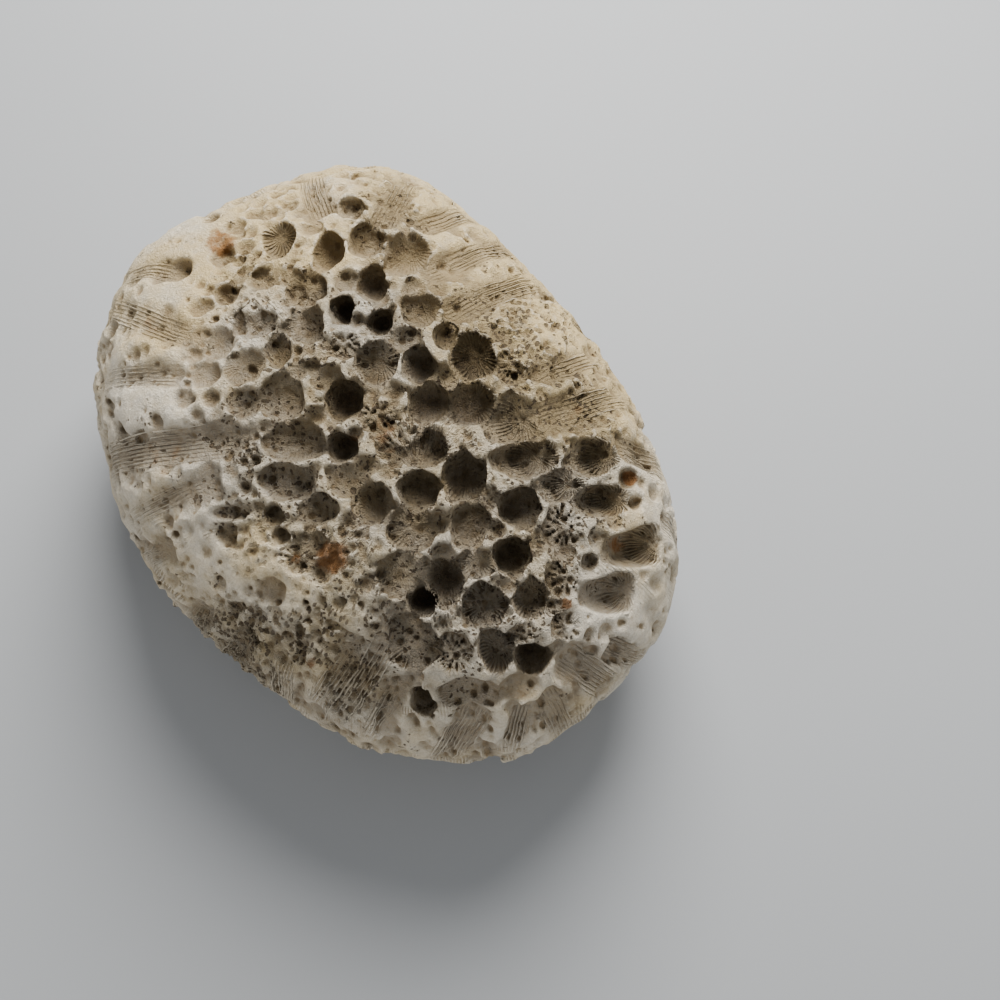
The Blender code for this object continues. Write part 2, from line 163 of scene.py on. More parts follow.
# Worn tubes round the rest of the flank, as (level, how many, length) of each ring.
FLANK_RINGS = ((22.0, 30, 10.0), (16.0, 30, 10.0), (9.0, 30, 6.0))
FLANK_GROOVE_WIDTH = 3.0
FLANK_GROOVE_DEPTHS = (0.55, 0.42, 0.15)
FLANK_SPACING = 4.3

# Shallower worn tubes that fill the flank between those.
SHALLOW_RINGS = ((26.0, 40, 9.0), (20.0, 48, 9.0), (13.0, 48, 8.0), (7.5, 44, 6.0))
SHALLOW_GROOVE_WIDTH = 2.9
SHALLOW_GROOVE_DEPTHS = (0.3, 0.25, 0.15)
SHALLOW_SPACING = 2.7

# How the surface is sculpted: a grid of heights above it.
GRID_STEP = 0.2
GRID_LOW = np.array((-31.0, -33.0, -4 * GRID_STEP))
GRID_HIGH = np.array((31.0, 33.0, 35.6))
MOST_TRIANGLES = 190000

# How the surface is found along a line: how far out to start, or how far before and past the middle of
# the view, in how many steps, and how finely. The last is how often a point is moved to settle on it.
FAR_OUT = 60.0
VIEW_REACH = 40.0
SEARCH_STEPS = 121
HALVINGS = 24
SETTLING_STEPS = 6

# Where each row of random draws starts.
HOLLOW_SEED = 21
FLANK_SEED = 9
SHALLOW_SEED = 5
DIMPLE_SEED = 8
PORE_SEED = 12
RIB_SEED = 33


# The form of the stone

def outline_radius(angle):
    """Radius of the stone at its widest level, on a smooth curve through RADII."""
    radii = np.array(RADII)
    place = np.asarray(angle) / (2 * math.pi) * len(radii)
    step = np.floor(place).astype(int)
    part = place - step
    before, here, after, beyond = (radii[(step + k) % len(radii)] for k in (-1, 0, 1, 2))
    slope_in, slope_out = (after - before) / 2, (beyond - here) / 2
    return (
        (2 * part**3 - 3 * part**2 + 1) * here
        + (part**3 - 2 * part**2 + part) * slope_in
        + (3 * part**2 - 2 * part**3) * after
        + (part**3 - part**2) * slope_out
    )


def stone_value_at(x, y, z):
    """Below zero inside the uncut stone, above zero outside it."""
    swell = SWELL * sum(np.sin(a * x + b * y + c * z + start) for a, b, c, start in SWELL_WAVES)
    x, y, z = x - STONE_MIDDLE[0], y - STONE_MIDDLE[1], z - STONE_MIDDLE[2]
    spread = np.hypot(x, y) / outline_radius(np.arctan2(y, x))
    rise = z / np.where(z > 0, CROWN_RISE, BELLY_DROP)
    return spread**PLAN_POWER + rise**2 - 1 - 2 * swell


def stone_value(points):
    points = np.asarray(points)
    return stone_value_at(points[..., 0], points[..., 1], points[..., 2])


def stone_slope(points, step=0.05):
    rises = [stone_value(points + move) - stone_value(points - move) for move in step * np.eye(3)]
    return np.stack(rises, -1) / (2 * step)


def unit(vectors):
    return vectors / np.linalg.norm(vectors, axis=-1, keepdims=True)


def normal_at(points):
    return unit(stone_slope(points))


def height_at(points):
    """How far points stand above the worn surface, less than zero below it."""
    return stone_value(points) / np.linalg.norm(stone_slope(points), axis=-1)


def narrowed(start, directions, outer, inner):
    """How far along each line the surface lies, between a distance outside it and one inside it."""
    for _ in range(HALVINGS):
        middle = (outer + inner) / 2
        within = stone_value(start + middle[..., None] * directions) < 0
        outer, inner = np.where(within, outer, middle), np.where(within, middle, inner)
    return inner


def crossing(start, direction, near, far):
    """Where a line from start first enters the stone between two distances, or passes closest to it."""
    distances = np.linspace(near, far, SEARCH_STEPS)
    values = stone_value(start + distances[:, None] * direction)
    inside = np.nonzero(values < 0)[0]
    if not len(inside):
        return start + distances[int(np.argmin(values))] * direction
    first = inside[0]
    return start + narrowed(start, direction, distances[max(first - 1, 0)], distances[first]) * direction


def sighted(across, up):
    """The point of the stone seen at a place in the view, and the direction it is seen along."""
    target = AIM + (across - AIM_OFFSET[0]) * RIGHTWARD + (up - AIM_OFFSET[1]) * UPWARD
    direction = unit(target - EYE)
    return crossing(EYE, direction, VIEW_DISTANCE - VIEW_REACH, VIEW_DISTANCE + VIEW_REACH), direction


def settled(point):
    """The point moved along its normal onto the stone's surface."""
    for _ in range(SETTLING_STEPS):
        point = point - normal_at(point) * height_at(point)
    return point


def walk(start, heading, length, steps):
    """Points along the surface from start, each heading straight on."""
    points = [settled(start)]
    for _ in range(steps):
        normal = normal_at(points[-1])
        heading = unit(heading - normal * heading.dot(normal))
        points.append(settled(points[-1] + heading * length / steps))
    return points


# Hollows

# From rib to rib in a tube, and from gap to gap in the floor of a star.
RIB_PITCH = 0.37
GAP_PITCH = 0.78

# How uneven the rims are, as (waves round the rim, size), and the range of a random start in a turn.
EDGE_WAVES = ((2, 0.05), (3, 0.06), (5, 0.04), (7, 0.025))
TURN = 6.28

# How ribbed the shallow grooves and the worn ones on the left flank are, where the others are 1.
SHALLOW_RIBBED = 0.4
WORN_RIBBED = 0.5
WORN_RIBBED_PAST = -12.0


def smooth_most(a, b, soft):
    """The larger of two heights, with their meeting rounded over a width."""
    return np.maximum(a, b) + np.maximum(soft - np.abs(a - b), 0) ** 2 / (4 * soft)


def eased(low, high, values):
    """0 at low, 1 at high and smooth between."""
    part = np.clip((values - low) / (high - low), 0, 1)
    return part * part * (3 - 2 * part)


class Calice:
    """A tapered tube sunk from its mouth. Inside it, hollow() is below zero."""

    shapes = {
        "deep": {"taper": 0.15, "rim": 0.14, "foot": 0.9, "bowl": 0.25},
        "cup": {"taper": 0.12, "rim": 0.12, "foot": 0.4, "bowl": 0.15},
        "star": {"taper": 0.1, "rim": 0.16, "foot": 0.2, "bowl": 0.0},
        "dent": {"taper": 0.25, "rim": 0.15, "foot": 0.45, "bowl": 0.35},
        "hole": {"taper": 0.3, "rim": 0.12, "foot": 0.4, "bowl": 0.4},
    }

    def __init__(self, chance, kind, across, up, width, height, depth, ribbed, lean):
        self.mouth, sight = sighted(across, up)
        self.kind, self.depth, self.ribbed = kind, depth, ribbed
        inward = 0.8 * sight - 0.2 * normal_at(self.mouth) + lean[0] * RIGHTWARD + lean[1] * UPWARD
        self.inward = unit(inward)
        self.side = unit(np.cross(self.inward, UPWARD))
        self.upward = np.cross(self.side, self.inward)
        self.half_width, self.half_height = width / 2, height / 2
        self.mean = (width + height) / 4
        self.waves = [
            (k, size * chance.uniform(0.4, 1.4), chance.uniform(0, TURN)) for k, size in EDGE_WAVES
        ]
        self.shape = self.shapes[kind]
        self.rim = self.shape["rim"]
        self.turn = chance.uniform(0, TURN)
        self.count = max(8, round(2 * math.pi * self.mean / RIB_PITCH))
        self.gaps = max(9, round(2 * math.pi * self.mean / GAP_PITCH))

    def place(self, points):
        """Each point's distance from the axis, in half widths, its angle round it and its depth."""
        offset = points - self.mouth
        a = offset @ self.side / self.half_width
        b = offset @ self.upward / self.half_height
        return np.hypot(a, b), np.arctan2(b, a), offset @ self.inward

    def edge(self, angle, along):
        wavy = 1 + sum(size * np.cos(k * angle + start) for k, size, start in self.waves)
        return wavy * (1 - self.shape["taper"] * np.clip(along / self.depth, 0, 1))

    def floor(self, spread, angle):
        """How deep the floor lies."""
        if self.kind == "star":
            uneven = 1.3 * np.cos(3 * angle + self.turn) + 1.0 * np.cos(5 * angle + 2 * self.turn)
            gaps = eased(0.2, 0.9, np.cos(self.gaps * angle + uneven + 1.5 * spread))
            gaps = gaps * (0.75 + 0.25 * np.cos(2 * angle + 3 * self.turn))
            ring = eased(0.3, 0.45, spread) * (1 - eased(0.85, 1.0, spread))
            inner = np.cos(6.5 * spread * np.cos(angle) + self.turn)
            inner = inner * np.cos(7 * spread * np.sin(angle) + 1)
            middle = eased(0.1, 0.5, inner) * (1 - eased(0.3, 0.4, spread))
            return self.depth * (0.6 + 0.7 * gaps * ring + 0.5 * middle)
        return self.depth * (1 - self.shape["bowl"] * np.minimum(spread, 1.3) ** 2)

    def hollow(self, points, _heights):
        spread, angle, along = self.place(points)
        wall = (spread - self.edge(angle, along)) * self.mean
        return smooth_most(wall, along - self.floor(spread, angle), self.shape["foot"])

    def box(self):
        ends = np.stack([self.mouth - 2.0 * self.inward, self.mouth + (2 * self.depth + 1) * self.inward])
        reach = max(self.half_width, self.half_height) * 1.2 + 1
        return ends.min(0) - reach, ends.max(0) + reach

    def marks(self, points, _heights):
        """Where points lie round the tube, as a cosine and a sine, and how ribbed they are."""
        spread, angle, along = self.place(points)
        fade = eased(0.25, 0.9, along / min(1.0, self.depth)) * eased(0.35, 0.75, spread)
        return np.cos(angle), np.sin(angle), self.ribbed * fade

    def point(self, spread, angle, along):
        sideways = self.side * self.half_width * math.cos(angle)
        upwards = self.upward * self.half_height * math.sin(angle)
        return self.mouth + self.inward * along + spread * (sideways + upwards)


class Groove:
    """A tube worn open along its length, following the surface."""

    kind = "groove"

    def __init__(self, chance, path, width, depths, ribbed):
        self.path = np.array(path)
        self.lengths = np.linalg.norm(np.diff(self.path, axis=0), axis=1)
        self.along = np.concatenate([[0], np.cumsum(self.lengths)])
        self.heading = unit(np.gradient(self.path, axis=0))
        self.across = unit(np.cross(normal_at(self.path), self.heading))
        self.half_width = width / 2
        self.depths = depths
        self.ribbed = ribbed
        self.rim = 0.25 if max(depths) < 0.6 else 0.7
        self.bend = (chance.uniform(0.05, 0.25), chance.uniform(0.15, 0.3), chance.uniform(0, TURN))
        self.count = max(8, round(4 * self.half_width / RIB_PITCH))

    def wander(self, along):
        """How far the middle of the groove strays to one side."""
        size, pace, start = self.bend
        return size * np.sin(pace * along + start)

    def depth(self, along):
        size, pace, start = self.bend
        steady = np.interp(along, np.linspace(0, self.along[-1], len(self.depths)), self.depths)
        return steady * (1 + size * np.cos(4 * pace * along + start))

    def section(self, along):
        """The radius of the round section, and how far its middle stands above the surface."""
        depth = self.depth(along)
        wide = self.half_width
        radius = np.where(depth < wide, (wide**2 + depth**2) / (2 * depth), wide)
        return radius, radius - depth

    def place(self, points):
        """Each point's distance along the groove, across it, and past its ends."""
        best = np.full(points.shape[:-1], np.inf)
        along, aside, past = np.zeros((3,) + points.shape[:-1])
        last = len(self.lengths) - 1
        for place, length in enumerate(self.lengths):
            run = (self.path[place + 1] - self.path[place]) / length
            offset = points - self.path[place]
            free = offset @ run
            part = np.clip(free, 0, length)
            gap = np.linalg.norm(offset - part[..., None] * run, axis=-1)
            nearer = gap < best
            best = np.where(nearer, gap, best)
            share = (part / length)[..., None]
            sideways = (1 - share) * self.across[place] + share * self.across[place + 1]
            short = np.minimum(free, 0) if place == 0 else 0
            beyond = np.maximum(free - length, 0) if place == last else 0
            along = np.where(nearer, self.along[place] + part, along)
            aside = np.where(nearer, np.sum((offset - part[..., None] * run) * sideways, -1), aside)
            past = np.where(nearer, short + beyond, past)
        return along, aside - self.wander(along), past

    def hollow(self, points, heights):
        along, aside, past = self.place(points)
        radius, middle = self.section(along)
        return np.sqrt(aside**2 + (heights - middle) ** 2 + past**2) - radius

    def box(self):
        reach = self.half_width + 2
        return self.path.min(0) - reach, self.path.max(0) + reach

    def marks(self, points, _heights):
        along, aside, past = self.place(points)
        angle = aside / self.half_width * math.pi / 2
        fade = 1 - eased(0.8, 1.1, np.abs(aside) / self.half_width)
        fade = fade * eased(-0.8, 0.2, -np.abs(past)) * (1 - eased(0.85, 1.0, along / self.along[-1]))
        return np.sin(angle), -np.cos(angle), self.ribbed * fade


def seen_grooves():
    for inner_x, inner_y, outer_x, outer_y, width in GROOVES:
        inner, _ = sighted(inner_x, inner_y)
        outer, _ = sighted(outer_x, outer_y)
        heading = outer - inner
        length = np.linalg.norm(heading) + GROOVE_RUN_ON
        worn = inner_x < LEFT_FLANK or inner_x < FRONT_FLANK[0] and inner_y < FRONT_FLANK[1]
        yield inner, heading, length, width, WORN_GROOVE_DEPTHS if worn else GROOVE_DEPTHS


def flank_grooves(chance, others, rings, width, depths, spacing):
    """Grooves straight down the flank, each kept only where it is clear of all others."""
    used = [point for start, heading, length, _, _ in others for point in walk(start, heading, length, 2)]
    for level, count, length in rings:
        for place in range(count):
            angle = 2 * math.pi * (place + chance.uniform(-0.3, 0.3)) / count
            outward = np.array((math.cos(angle), math.sin(angle), 0))
            height = np.array((0, 0, level + chance.uniform(-1.5, 1.5)))
            start = crossing(height + FAR_OUT * outward, -outward, 0, FAR_OUT)
            run = length * chance.uniform(0.8, 1.1)
            path = walk(start, np.array((0, 0, -1.0)), run, 2)
            wide = width * chance.uniform(0.8, 1.1)
            if all(np.linalg.norm(point - other) > spacing for point in path for other in used):
                used += path
                yield start, np.array((0, 0, -1.0)), run, wide, depths


def walled(calices):
    """The calices, each narrowed where it would break through the wall to its neighbour."""
    sizes = np.array(calices)
    shares = np.ones(len(sizes))
    for one, (x, y, width, height, *_) in enumerate(sizes):
        for other, (x2, y2, width2, height2, *_) in enumerate(sizes):
            apart = math.hypot(x2 - x, y2 - y)
            if one != other and apart < NEIGHBOUR_REACH:
                run = ((x2 - x) / apart, (y2 - y) / apart)
                reach = 0.5 / math.hypot(run[0] / width, run[1] / height)
                reach += 0.5 / math.hypot(run[0] / width2, run[1] / height2)
                shares[one] = min(shares[one], max(LEAST_SHARE, (apart - WALL) / reach))
    return [
        (x, y, width * share, height * share, *rest)
        for (x, y, width, height, *rest), share in zip(calices, shares)
    ]


def how_ribbed(start, depths):
    """How much of its ribs a groove keeps."""
    if depths == SHALLOW_GROOVE_DEPTHS:
        return SHALLOW_RIBBED
    if depths == WORN_GROOVE_DEPTHS and start[0] < WORN_RIBBED_PAST:
        return WORN_RIBBED
    return 1.0


def all_hollows():
    """Every hollow, in the order they are cut: the grooves first, then the calices and the holes."""
    chance = random.Random(HOLLOW_SEED)
    flank = (FLANK_RINGS, FLANK_GROOVE_WIDTH, FLANK_GROOVE_DEPTHS, FLANK_SPACING)
    filler = (SHALLOW_RINGS, SHALLOW_GROOVE_WIDTH, SHALLOW_GROOVE_DEPTHS, SHALLOW_SPACING)
    seen = list(seen_grooves())
    worn = list(flank_grooves(random.Random(FLANK_SEED), seen, *flank))
    shallow = list(flank_grooves(random.Random(SHALLOW_SEED), seen + worn, *filler))
    hollows = []
    for start, heading, length, width, depths in shallow + worn + seen:
        path = walk(start, heading, length, 5)
        hollows.append(Groove(chance, path, width, depths, how_ribbed(start, depths)))
    kept = walled(CUP_CALICES + STAR_CALICES + DEEP_CALICES)
    cups, stars = len(CUP_CALICES), len(STAR_CALICES)
    for calices, kind in (
        (DENTED_CALICES, "dent"), (kept[:cups], "cup"),
        (kept[cups:cups + stars], "star"), (kept[cups + stars:], "deep"),
    ):
        for calice in calices:
            lean = FLANK_LEAN if kind == "cup" and calice[0] > RIGHT_FLANK else LEAN
            *mouth, depth, ribbed = calice
            hollows.append(Calice(chance, kind, *mouth, DEEPENED[kind] * depth, ribbed, lean))
    for across, up, width in HOLES:
        size = width * chance.uniform(0.9, 1.2)
        hollows.append(Calice(chance, "hole", across, up, size, size, size, 0.0, LEAN))
    return hollows


# Sculpting on the grid

def grid_axes():
    counts = np.ceil((GRID_HIGH - GRID_LOW) / GRID_STEP).astype(int) + 1
    return [GRID_LOW[k] + GRID_STEP * np.arange(counts[k]) for k in range(3)]


def grid_heights(axes):
    """The height of every grid point above the uncut stone."""
    x, y, z = (axis.astype(np.float32) for axis in np.ix_(*axes))
    value = stone_value_at(x, y, z).astype(np.float32)
    slope = np.zeros_like(value)
    for axis in range(3):
        slope += np.gradient(value, GRID_STEP, axis=axis) ** 2
    return value / np.sqrt(slope + 1e-4)


def block_of(low, high, shape):
    first = np.maximum(np.floor((low - GRID_LOW) / GRID_STEP).astype(int), 0)
    last = np.minimum(np.ceil((high - GRID_LOW) / GRID_STEP).astype(int) + 1, shape)
    return tuple(slice(a, b) for a, b in zip(first, last))


def block_points(axes, block):
    return np.stack(np.meshgrid(*(axis[part] for axis, part in zip(axes, block)), indexing="ij"), -1)


def carve(solid, heights, axes, hollow):
    """Takes a hollow out of the stone, with its rim rounded."""
    block = block_of(*hollow.box(), solid.shape)
    points = block_points(axes, block)
    near = solid[block] < 2.5
    empty = hollow.hollow(points[near], heights[block][near])
    part = solid[block]
    part[near] = smooth_most(part[near], -empty, hollow.rim)
    solid[block] = part


def lattice_noise(points, cell, seed):
    """Smooth noise from -1 to 1 that changes over about one cell."""
    place = (points - GRID_LOW) / cell + 1
    corner = np.floor(place).astype(np.int64)
    part = place - corner
    part = part * part * (3 - 2 * part)
    shape = np.ceil((GRID_HIGH - GRID_LOW + 4) / cell).astype(int) + 4
    table = np.random.default_rng(seed).uniform(-1, 1, shape).astype(np.float32).ravel()
    total = 0
    for corner_bits in range(8):
        bits = [(corner_bits >> k) & 1 for k in range(3)]
        weight = np.prod([part[:, k] if bit else 1 - part[:, k] for k, bit in enumerate(bits)], axis=0)
        x, y, z = (corner + bits).T
        index = (x * shape[1] + y) * shape[2] + z
        total = total + weight * table[index]
    return total


def view_place(points):
    """Where points lie in the view, across and up from the middle of the stone."""
    offset = points - EYE
    depth = offset @ FORWARD
    across = offset @ RIGHTWARD / depth * VIEW_DISTANCE + AIM_OFFSET[0]
    up = offset @ UPWARD / depth * VIEW_DISTANCE + AIM_OFFSET[1]
    return across, up


# Areas of open, spongy stone, as (across, up, reach, strength) in the view.
SPONGY_AREAS = (
    (-14.6, -18.0, 6.0, 1.0), (-7.0, -16.5, 4.5, 1.0), (15.0, 13.2, 4.5, 0.9), (1.8, 2.5, 3.8, 1.0),
    (-14.1, 1.4, 1.8, 1.0), (-9.0, -9.2, 2.2, 1.0), (-4.0, -8.0, 3.5, 0.8), (10.5, -3.3, 3.0, 0.6),
    (7.0, -14.5, 4.5, 0.7), (-2.0, -12.5, 3.5, 0.8), (-12.0, -7.5, 4.5, 0.6), (6.5, 2.5, 3.5, 0.7),
    (16.0, -9.0, 4.5, 0.6), (-12.0, 16.5, 6.0, 0.5), (0.0, 24.5, 5.0, 0.5), (-3.0, -22.0, 4.0, 0.8),
    (20.8, 2.5, 3.5, 0.5),
)


def sponginess(points):
    """How open the stone is between its calices: the crown most, the flanks in places."""
    across, up = view_place(points)
    amount = np.zeros(len(points))
    for x, y, reach, strength in SPONGY_AREAS:
        amount = np.maximum(amount, strength * (1 - eased(0.5, 1.1, np.hypot(across - x, up - y) / reach)))
    hidden = points[:, 2] < 9
    patchy = eased(0.0, 0.5, lattice_noise(points, 9.0, 5))
    return np.where(hidden, 0.7 * patchy, amount)


# Worn relief: the mean depth of its dents, then the depth and the width of two sizes of them. The pitting
# between them has a depth anywhere, a further depth in open stone, and a width.
WORN_AWAY = 0.18
BROAD_DENTS = (0.1, 2.6)
SMALL_DENTS = (0.07, 1.1)
PITTING = (0.06, 0.24, 0.8)


def roughen(solid, axes):
    """Worn relief: slow dents, and finer pitting where the stone is spongy. It only takes stone away."""
    near = np.nonzero(np.abs(solid) < 1.0)
    points = np.stack([axis[index] for axis, index in zip(axes, near)], -1)
    crown = eased(22, 14, np.linalg.norm(points - CROWN_POINT, axis=1))
    open_stone = np.maximum(sponginess(points), 0.5 * crown)
    broad = BROAD_DENTS[0] * lattice_noise(points, BROAD_DENTS[1], 1)
    small = SMALL_DENTS[0] * lattice_noise(points, SMALL_DENTS[1], 2)
    pits = eased(0.1, 0.75, np.abs(lattice_noise(points, PITTING[2], 3)))
    flank = eased(0.25, 0.6, 1 - normal_at(points)[:, 2])
    depth = PITTING[0] + PITTING[1] * open_stone * (1 - 0.6 * flank)
    solid[near] += WORN_AWAY + broad + small + depth * pits


# The middle of the crown, which the tubes fan out from.
CROWN_POINT = sighted(3.0, 0.0)[0]


def fan_direction(points):
    """The way the tubes run along the surface, outward from the middle of the crown."""
    normals = normal_at(points)
    outward = points - CROWN_POINT
    return unit(outward - normals * np.sum(outward * normals, -1, keepdims=True))


def stamp(solid, heights, axes, point, run, half_length, half_width, depth, soft):
    """A bowl sunk into the worn surface, drawn out along a direction."""
    reach = half_length + 2 * GRID_STEP + soft
    block = block_of(point - reach, point + reach, solid.shape)
    offset = block_points(axes, block) - point
    lengthwise = offset @ run
    square = np.sum(offset**2, -1)
    radius = (half_width**2 + depth**2) / (2 * depth) if depth < half_width else half_width
    up = heights[block] + depth - radius
    aside = np.maximum(square - lengthwise**2 - heights[block] ** 2, 0)
    gap = np.sqrt(aside + (lengthwise * half_width / half_length) ** 2 + up**2) - radius
    solid[block] = smooth_most(solid[block], -gap, soft)


# Smooth, worn places of the stone, as (across, up, reach) in the view, and the level they end at.
SMOOTH_AREAS = (
    (-24.0, 8.0, 5.0), (-24.0, 4.0, 4.0), (22.5, -17.5, 4.5), (-13.0, -9.5, 3.5), (19.0, 16.0, 5.0),
    (-17.0, -10.0, 3.0), (-9.0, -12.5, 2.5), (27.5, -13.0, 5.0), (28.0, -5.0, 4.0), (-22.0, 21.0, 5.0),
    (8.0, 27.0, 5.0), (-27.0, -3.0, 4.0),
)
SMOOTH_ABOVE = 6.0

# Dimples: how many places are tried, the least size and the range above it, and how close two may lie.
DIMPLE_TRIES = 9000
DIMPLE_SIZES = (0.4, 0.8)
DIMPLE_SPACING = 0.66


def press_dimples(solid, heights, axes, hollows):
    """Small shallow pits that meet in sharp crests, packed over the stone between its calices."""
    chance = np.random.default_rng(DIMPLE_SEED)
    outward = unit(chance.normal(size=(DIMPLE_TRIES, 3)))
    distances = narrowed(STONE_MIDDLE, outward, np.full(DIMPLE_TRIES, FAR_OUT), np.zeros(DIMPLE_TRIES))
    points = STONE_MIDDLE + distances[:, None] * outward
    points = points[points[:, 2] > 0.3]
    sizes = DIMPLE_SIZES[0] + DIMPLE_SIZES[1] * chance.random(len(points)) ** 2.0
    sizes *= 1 - 0.35 * sponginess(points)
    across, up = view_place(points)
    keep = np.ones(len(points), bool)
    for x, y, reach in SMOOTH_AREAS:
        clear = (np.hypot(across - x, up - y) > reach) | (points[:, 2] < SMOOTH_ABOVE)
        keep &= clear | (chance.random(len(points)) < 0.2)
    for hollow in hollows:
        if isinstance(hollow, Calice) and hollow.kind != "hole":
            spread, _, along = hollow.place(points)
            keep &= (spread > 1.05 + 0.4 * sizes / hollow.mean) | (np.abs(along) > 5)
        elif isinstance(hollow, Groove):
            keep &= (hollow.hollow(points, np.zeros(len(points))) > 0) | (chance.random(len(points)) < 0.25)
    points, sizes = points[keep], sizes[keep]
    runs = fan_direction(points)
    flank = eased(0.3, 0.75, 1 - normal_at(points)[:, 2])
    lengths = 1 + flank * chance.uniform(0.2, 1.8, len(points))
    placed = np.empty((0, 4))
    for point, run, drawn, size in zip(points, runs, lengths, sizes):
        apart = np.linalg.norm(placed[:, :3] - point, axis=1)
        if np.any(apart < DIMPLE_SPACING * (placed[:, 3] + size)):
            continue
        placed = np.vstack([placed, [*point, size]])
        depth = size * chance.uniform(0.5, 1.2) * (1 - 0.3 * (drawn - 1) / 2)
        stamp(solid, heights, axes, point, run, size * drawn, size, depth, 0.1)


# Pores: how many, the least size and the range above it, and how soft their rims are.
PORE_COUNT = 5000
PORE_SIZES = (0.18, 0.26)
PORE_RIM = 0.12


def bore_pores(solid, heights, axes):
    """Small pores, rounded on the crown and drawn out along the tubes on the flanks."""
    chance = np.random.default_rng(PORE_SEED)
    near = np.nonzero((np.abs(solid) < 0.6 * GRID_STEP) & (heights > -3.0))
    points = np.stack([axis[index] for axis, index in zip(axes, near)], -1)
    chances = 0.1 + 1.2 * sponginess(points) + 0.25 * (heights[near] < -0.7)
    picks = chance.choice(len(points), PORE_COUNT, replace=False, p=chances / chances.sum())
    points = points[picks]
    along = fan_direction(points)
    flank = eased(0.35, 0.75, 1 - normal_at(points)[:, 2])
    sizes = PORE_SIZES[0] + PORE_SIZES[1] * chance.random(len(points)) ** 1.8
    for point, run, drawn, size in zip(points, along, 1 + 1.4 * flank, sizes):
        reach = size * drawn + 2 * GRID_STEP
        block = block_of(point - reach, point + reach, solid.shape)
        offset = block_points(axes, block) - point
        lengthwise = offset @ run
        aside = np.sqrt(np.maximum(np.sum(offset**2, -1) - lengthwise**2, 0))
        gap = np.hypot(lengthwise / drawn, aside) - size
        solid[block] = smooth_most(solid[block], -gap, PORE_RIM)


def blurred(values, cells):
    """The mean over a box that reaches some cells to each side, worked twice."""
    for axis in (0, 1, 2) * 2:
        pads = [(cells + 1, cells) if k == axis else (0, 0) for k in range(3)]
        total = np.cumsum(np.pad(values, pads, mode="edge"), axis=axis, dtype=np.float32)
        size = values.shape[axis]
        upper = np.take(total, range(2 * cells + 1, 2 * cells + 1 + size), axis=axis)
        lower = np.take(total, range(size), axis=axis)
        values = (upper - lower) / (2 * cells + 1)
    return values


def sampled(values, points):
    """The values of a grid at points between its own."""
    place = np.clip((points - GRID_LOW) / GRID_STEP, 0, np.array(values.shape) - 1.001)
    corner = place.astype(int)
    part = place - corner
    total = 0
    for bits in range(8):
        step = np.array([(bits >> k) & 1 for k in range(3)])
        weight = np.prod(np.where(step, part, 1 - part), axis=1)
        total = total + weight * values[tuple((corner + step).T)]
    return total


def surface_net(field, low, step):
    """The surface where a field is zero: a point for each cell that it crosses, and outward quads."""
    inside = field < 0
    cells = tuple(size - 1 for size in field.shape)
    corners = [((bits >> 0) & 1, (bits >> 1) & 1, (bits >> 2) & 1) for bits in range(8)]
    count = np.zeros(cells, np.int8)
    for corner in corners:
        count += inside[tuple(slice(at, at + size) for at, size in zip(corner, cells))]
    crossed = (count > 0) & (count < 8)
    where = np.nonzero(crossed)
    index = np.full(cells, -1, np.int32)
    index[crossed] = np.arange(len(where[0]))
    total = np.zeros((len(where[0]), 3))
    weight = np.zeros(len(where[0]))
    for axis in range(3):
        step_on = np.eye(3, dtype=int)[axis]
        for corner in corners:
            if corner[axis]:
                continue
            here = field[tuple(at + part for at, part in zip(where, corner))]
            there = field[tuple(at + part for at, part in zip(where, np.add(corner, step_on)))]
            cut = (here < 0) != (there < 0)
            share = here[cut] / (here[cut] - there[cut])
            total[cut] += np.array(corner) + share[:, None] * step_on
            weight[cut] += 1
    points = low + step * (np.stack(where, -1) + total / weight[:, None])
    quads = []
    for axis in range(3):
        u, v = (axis + 1) % 3, (axis + 2) % 3
        lower = np.moveaxis(inside, axis, 0)[:-1]
        upper = np.moveaxis(inside, axis, 0)[1:]
        at = np.stack(np.nonzero(lower != upper), -1)
        outward = lower[tuple(at.T)]
        grid = at[:, np.argsort([axis] + [k for k in range(3) if k != axis])]
        ring = []
        for du, dv in ((-1, -1), (0, -1), (0, 0), (-1, 0)):
            back = np.zeros(3, int)
            back[u], back[v] = du, dv
            ring.append(index[tuple((grid + back).T)])
        ring = np.stack(ring, -1)
        quads.append(np.where(outward[:, None], ring, ring[:, ::-1]))
    return points, np.concatenate(quads)


def largest_part(points, quads):
    """The mesh without the crumbs that hang free and the bubbles sealed in the stone."""
    label = np.arange(len(points))
    ends = np.concatenate([quads[:, [0, 1]], quads[:, [1, 2]], quads[:, [2, 3]], quads[:, [3, 0]]])
    while True:
        lowest = np.minimum(label[ends[:, 0]], label[ends[:, 1]])
        changed = label.copy()
        np.minimum.at(changed, ends[:, 0], lowest)
        np.minimum.at(changed, ends[:, 1], lowest)
        changed = changed[changed]
        if np.array_equal(changed, label):
            break
        label = changed
    kept = label == np.bincount(label).argmax()
    renumbered = np.cumsum(kept) - 1
    return points[kept], renumbered[quads[kept[quads[:, 0]]]]


def mesh_of(name, points, faces):
    mesh = bpy.data.meshes.new(name)
    mesh.vertices.add(len(points))
    mesh.vertices.foreach_set("co", np.asarray(points, np.float32).ravel())
    mesh.loops.add(faces.size)
    mesh.loops.foreach_set("vertex_index", faces.astype(np.int32).ravel())
    mesh.polygons.add(len(faces))
    mesh.polygons.foreach_set("loop_start", np.arange(0, faces.size, faces.shape[1], dtype=np.int32))
    mesh.update(calc_edges=True)
    mesh.validate()
    return mesh


def new_object(name, mesh):
    thing = bpy.data.objects.new(name, mesh)
    bpy.context.scene.collection.objects.link(thing)
    return thing


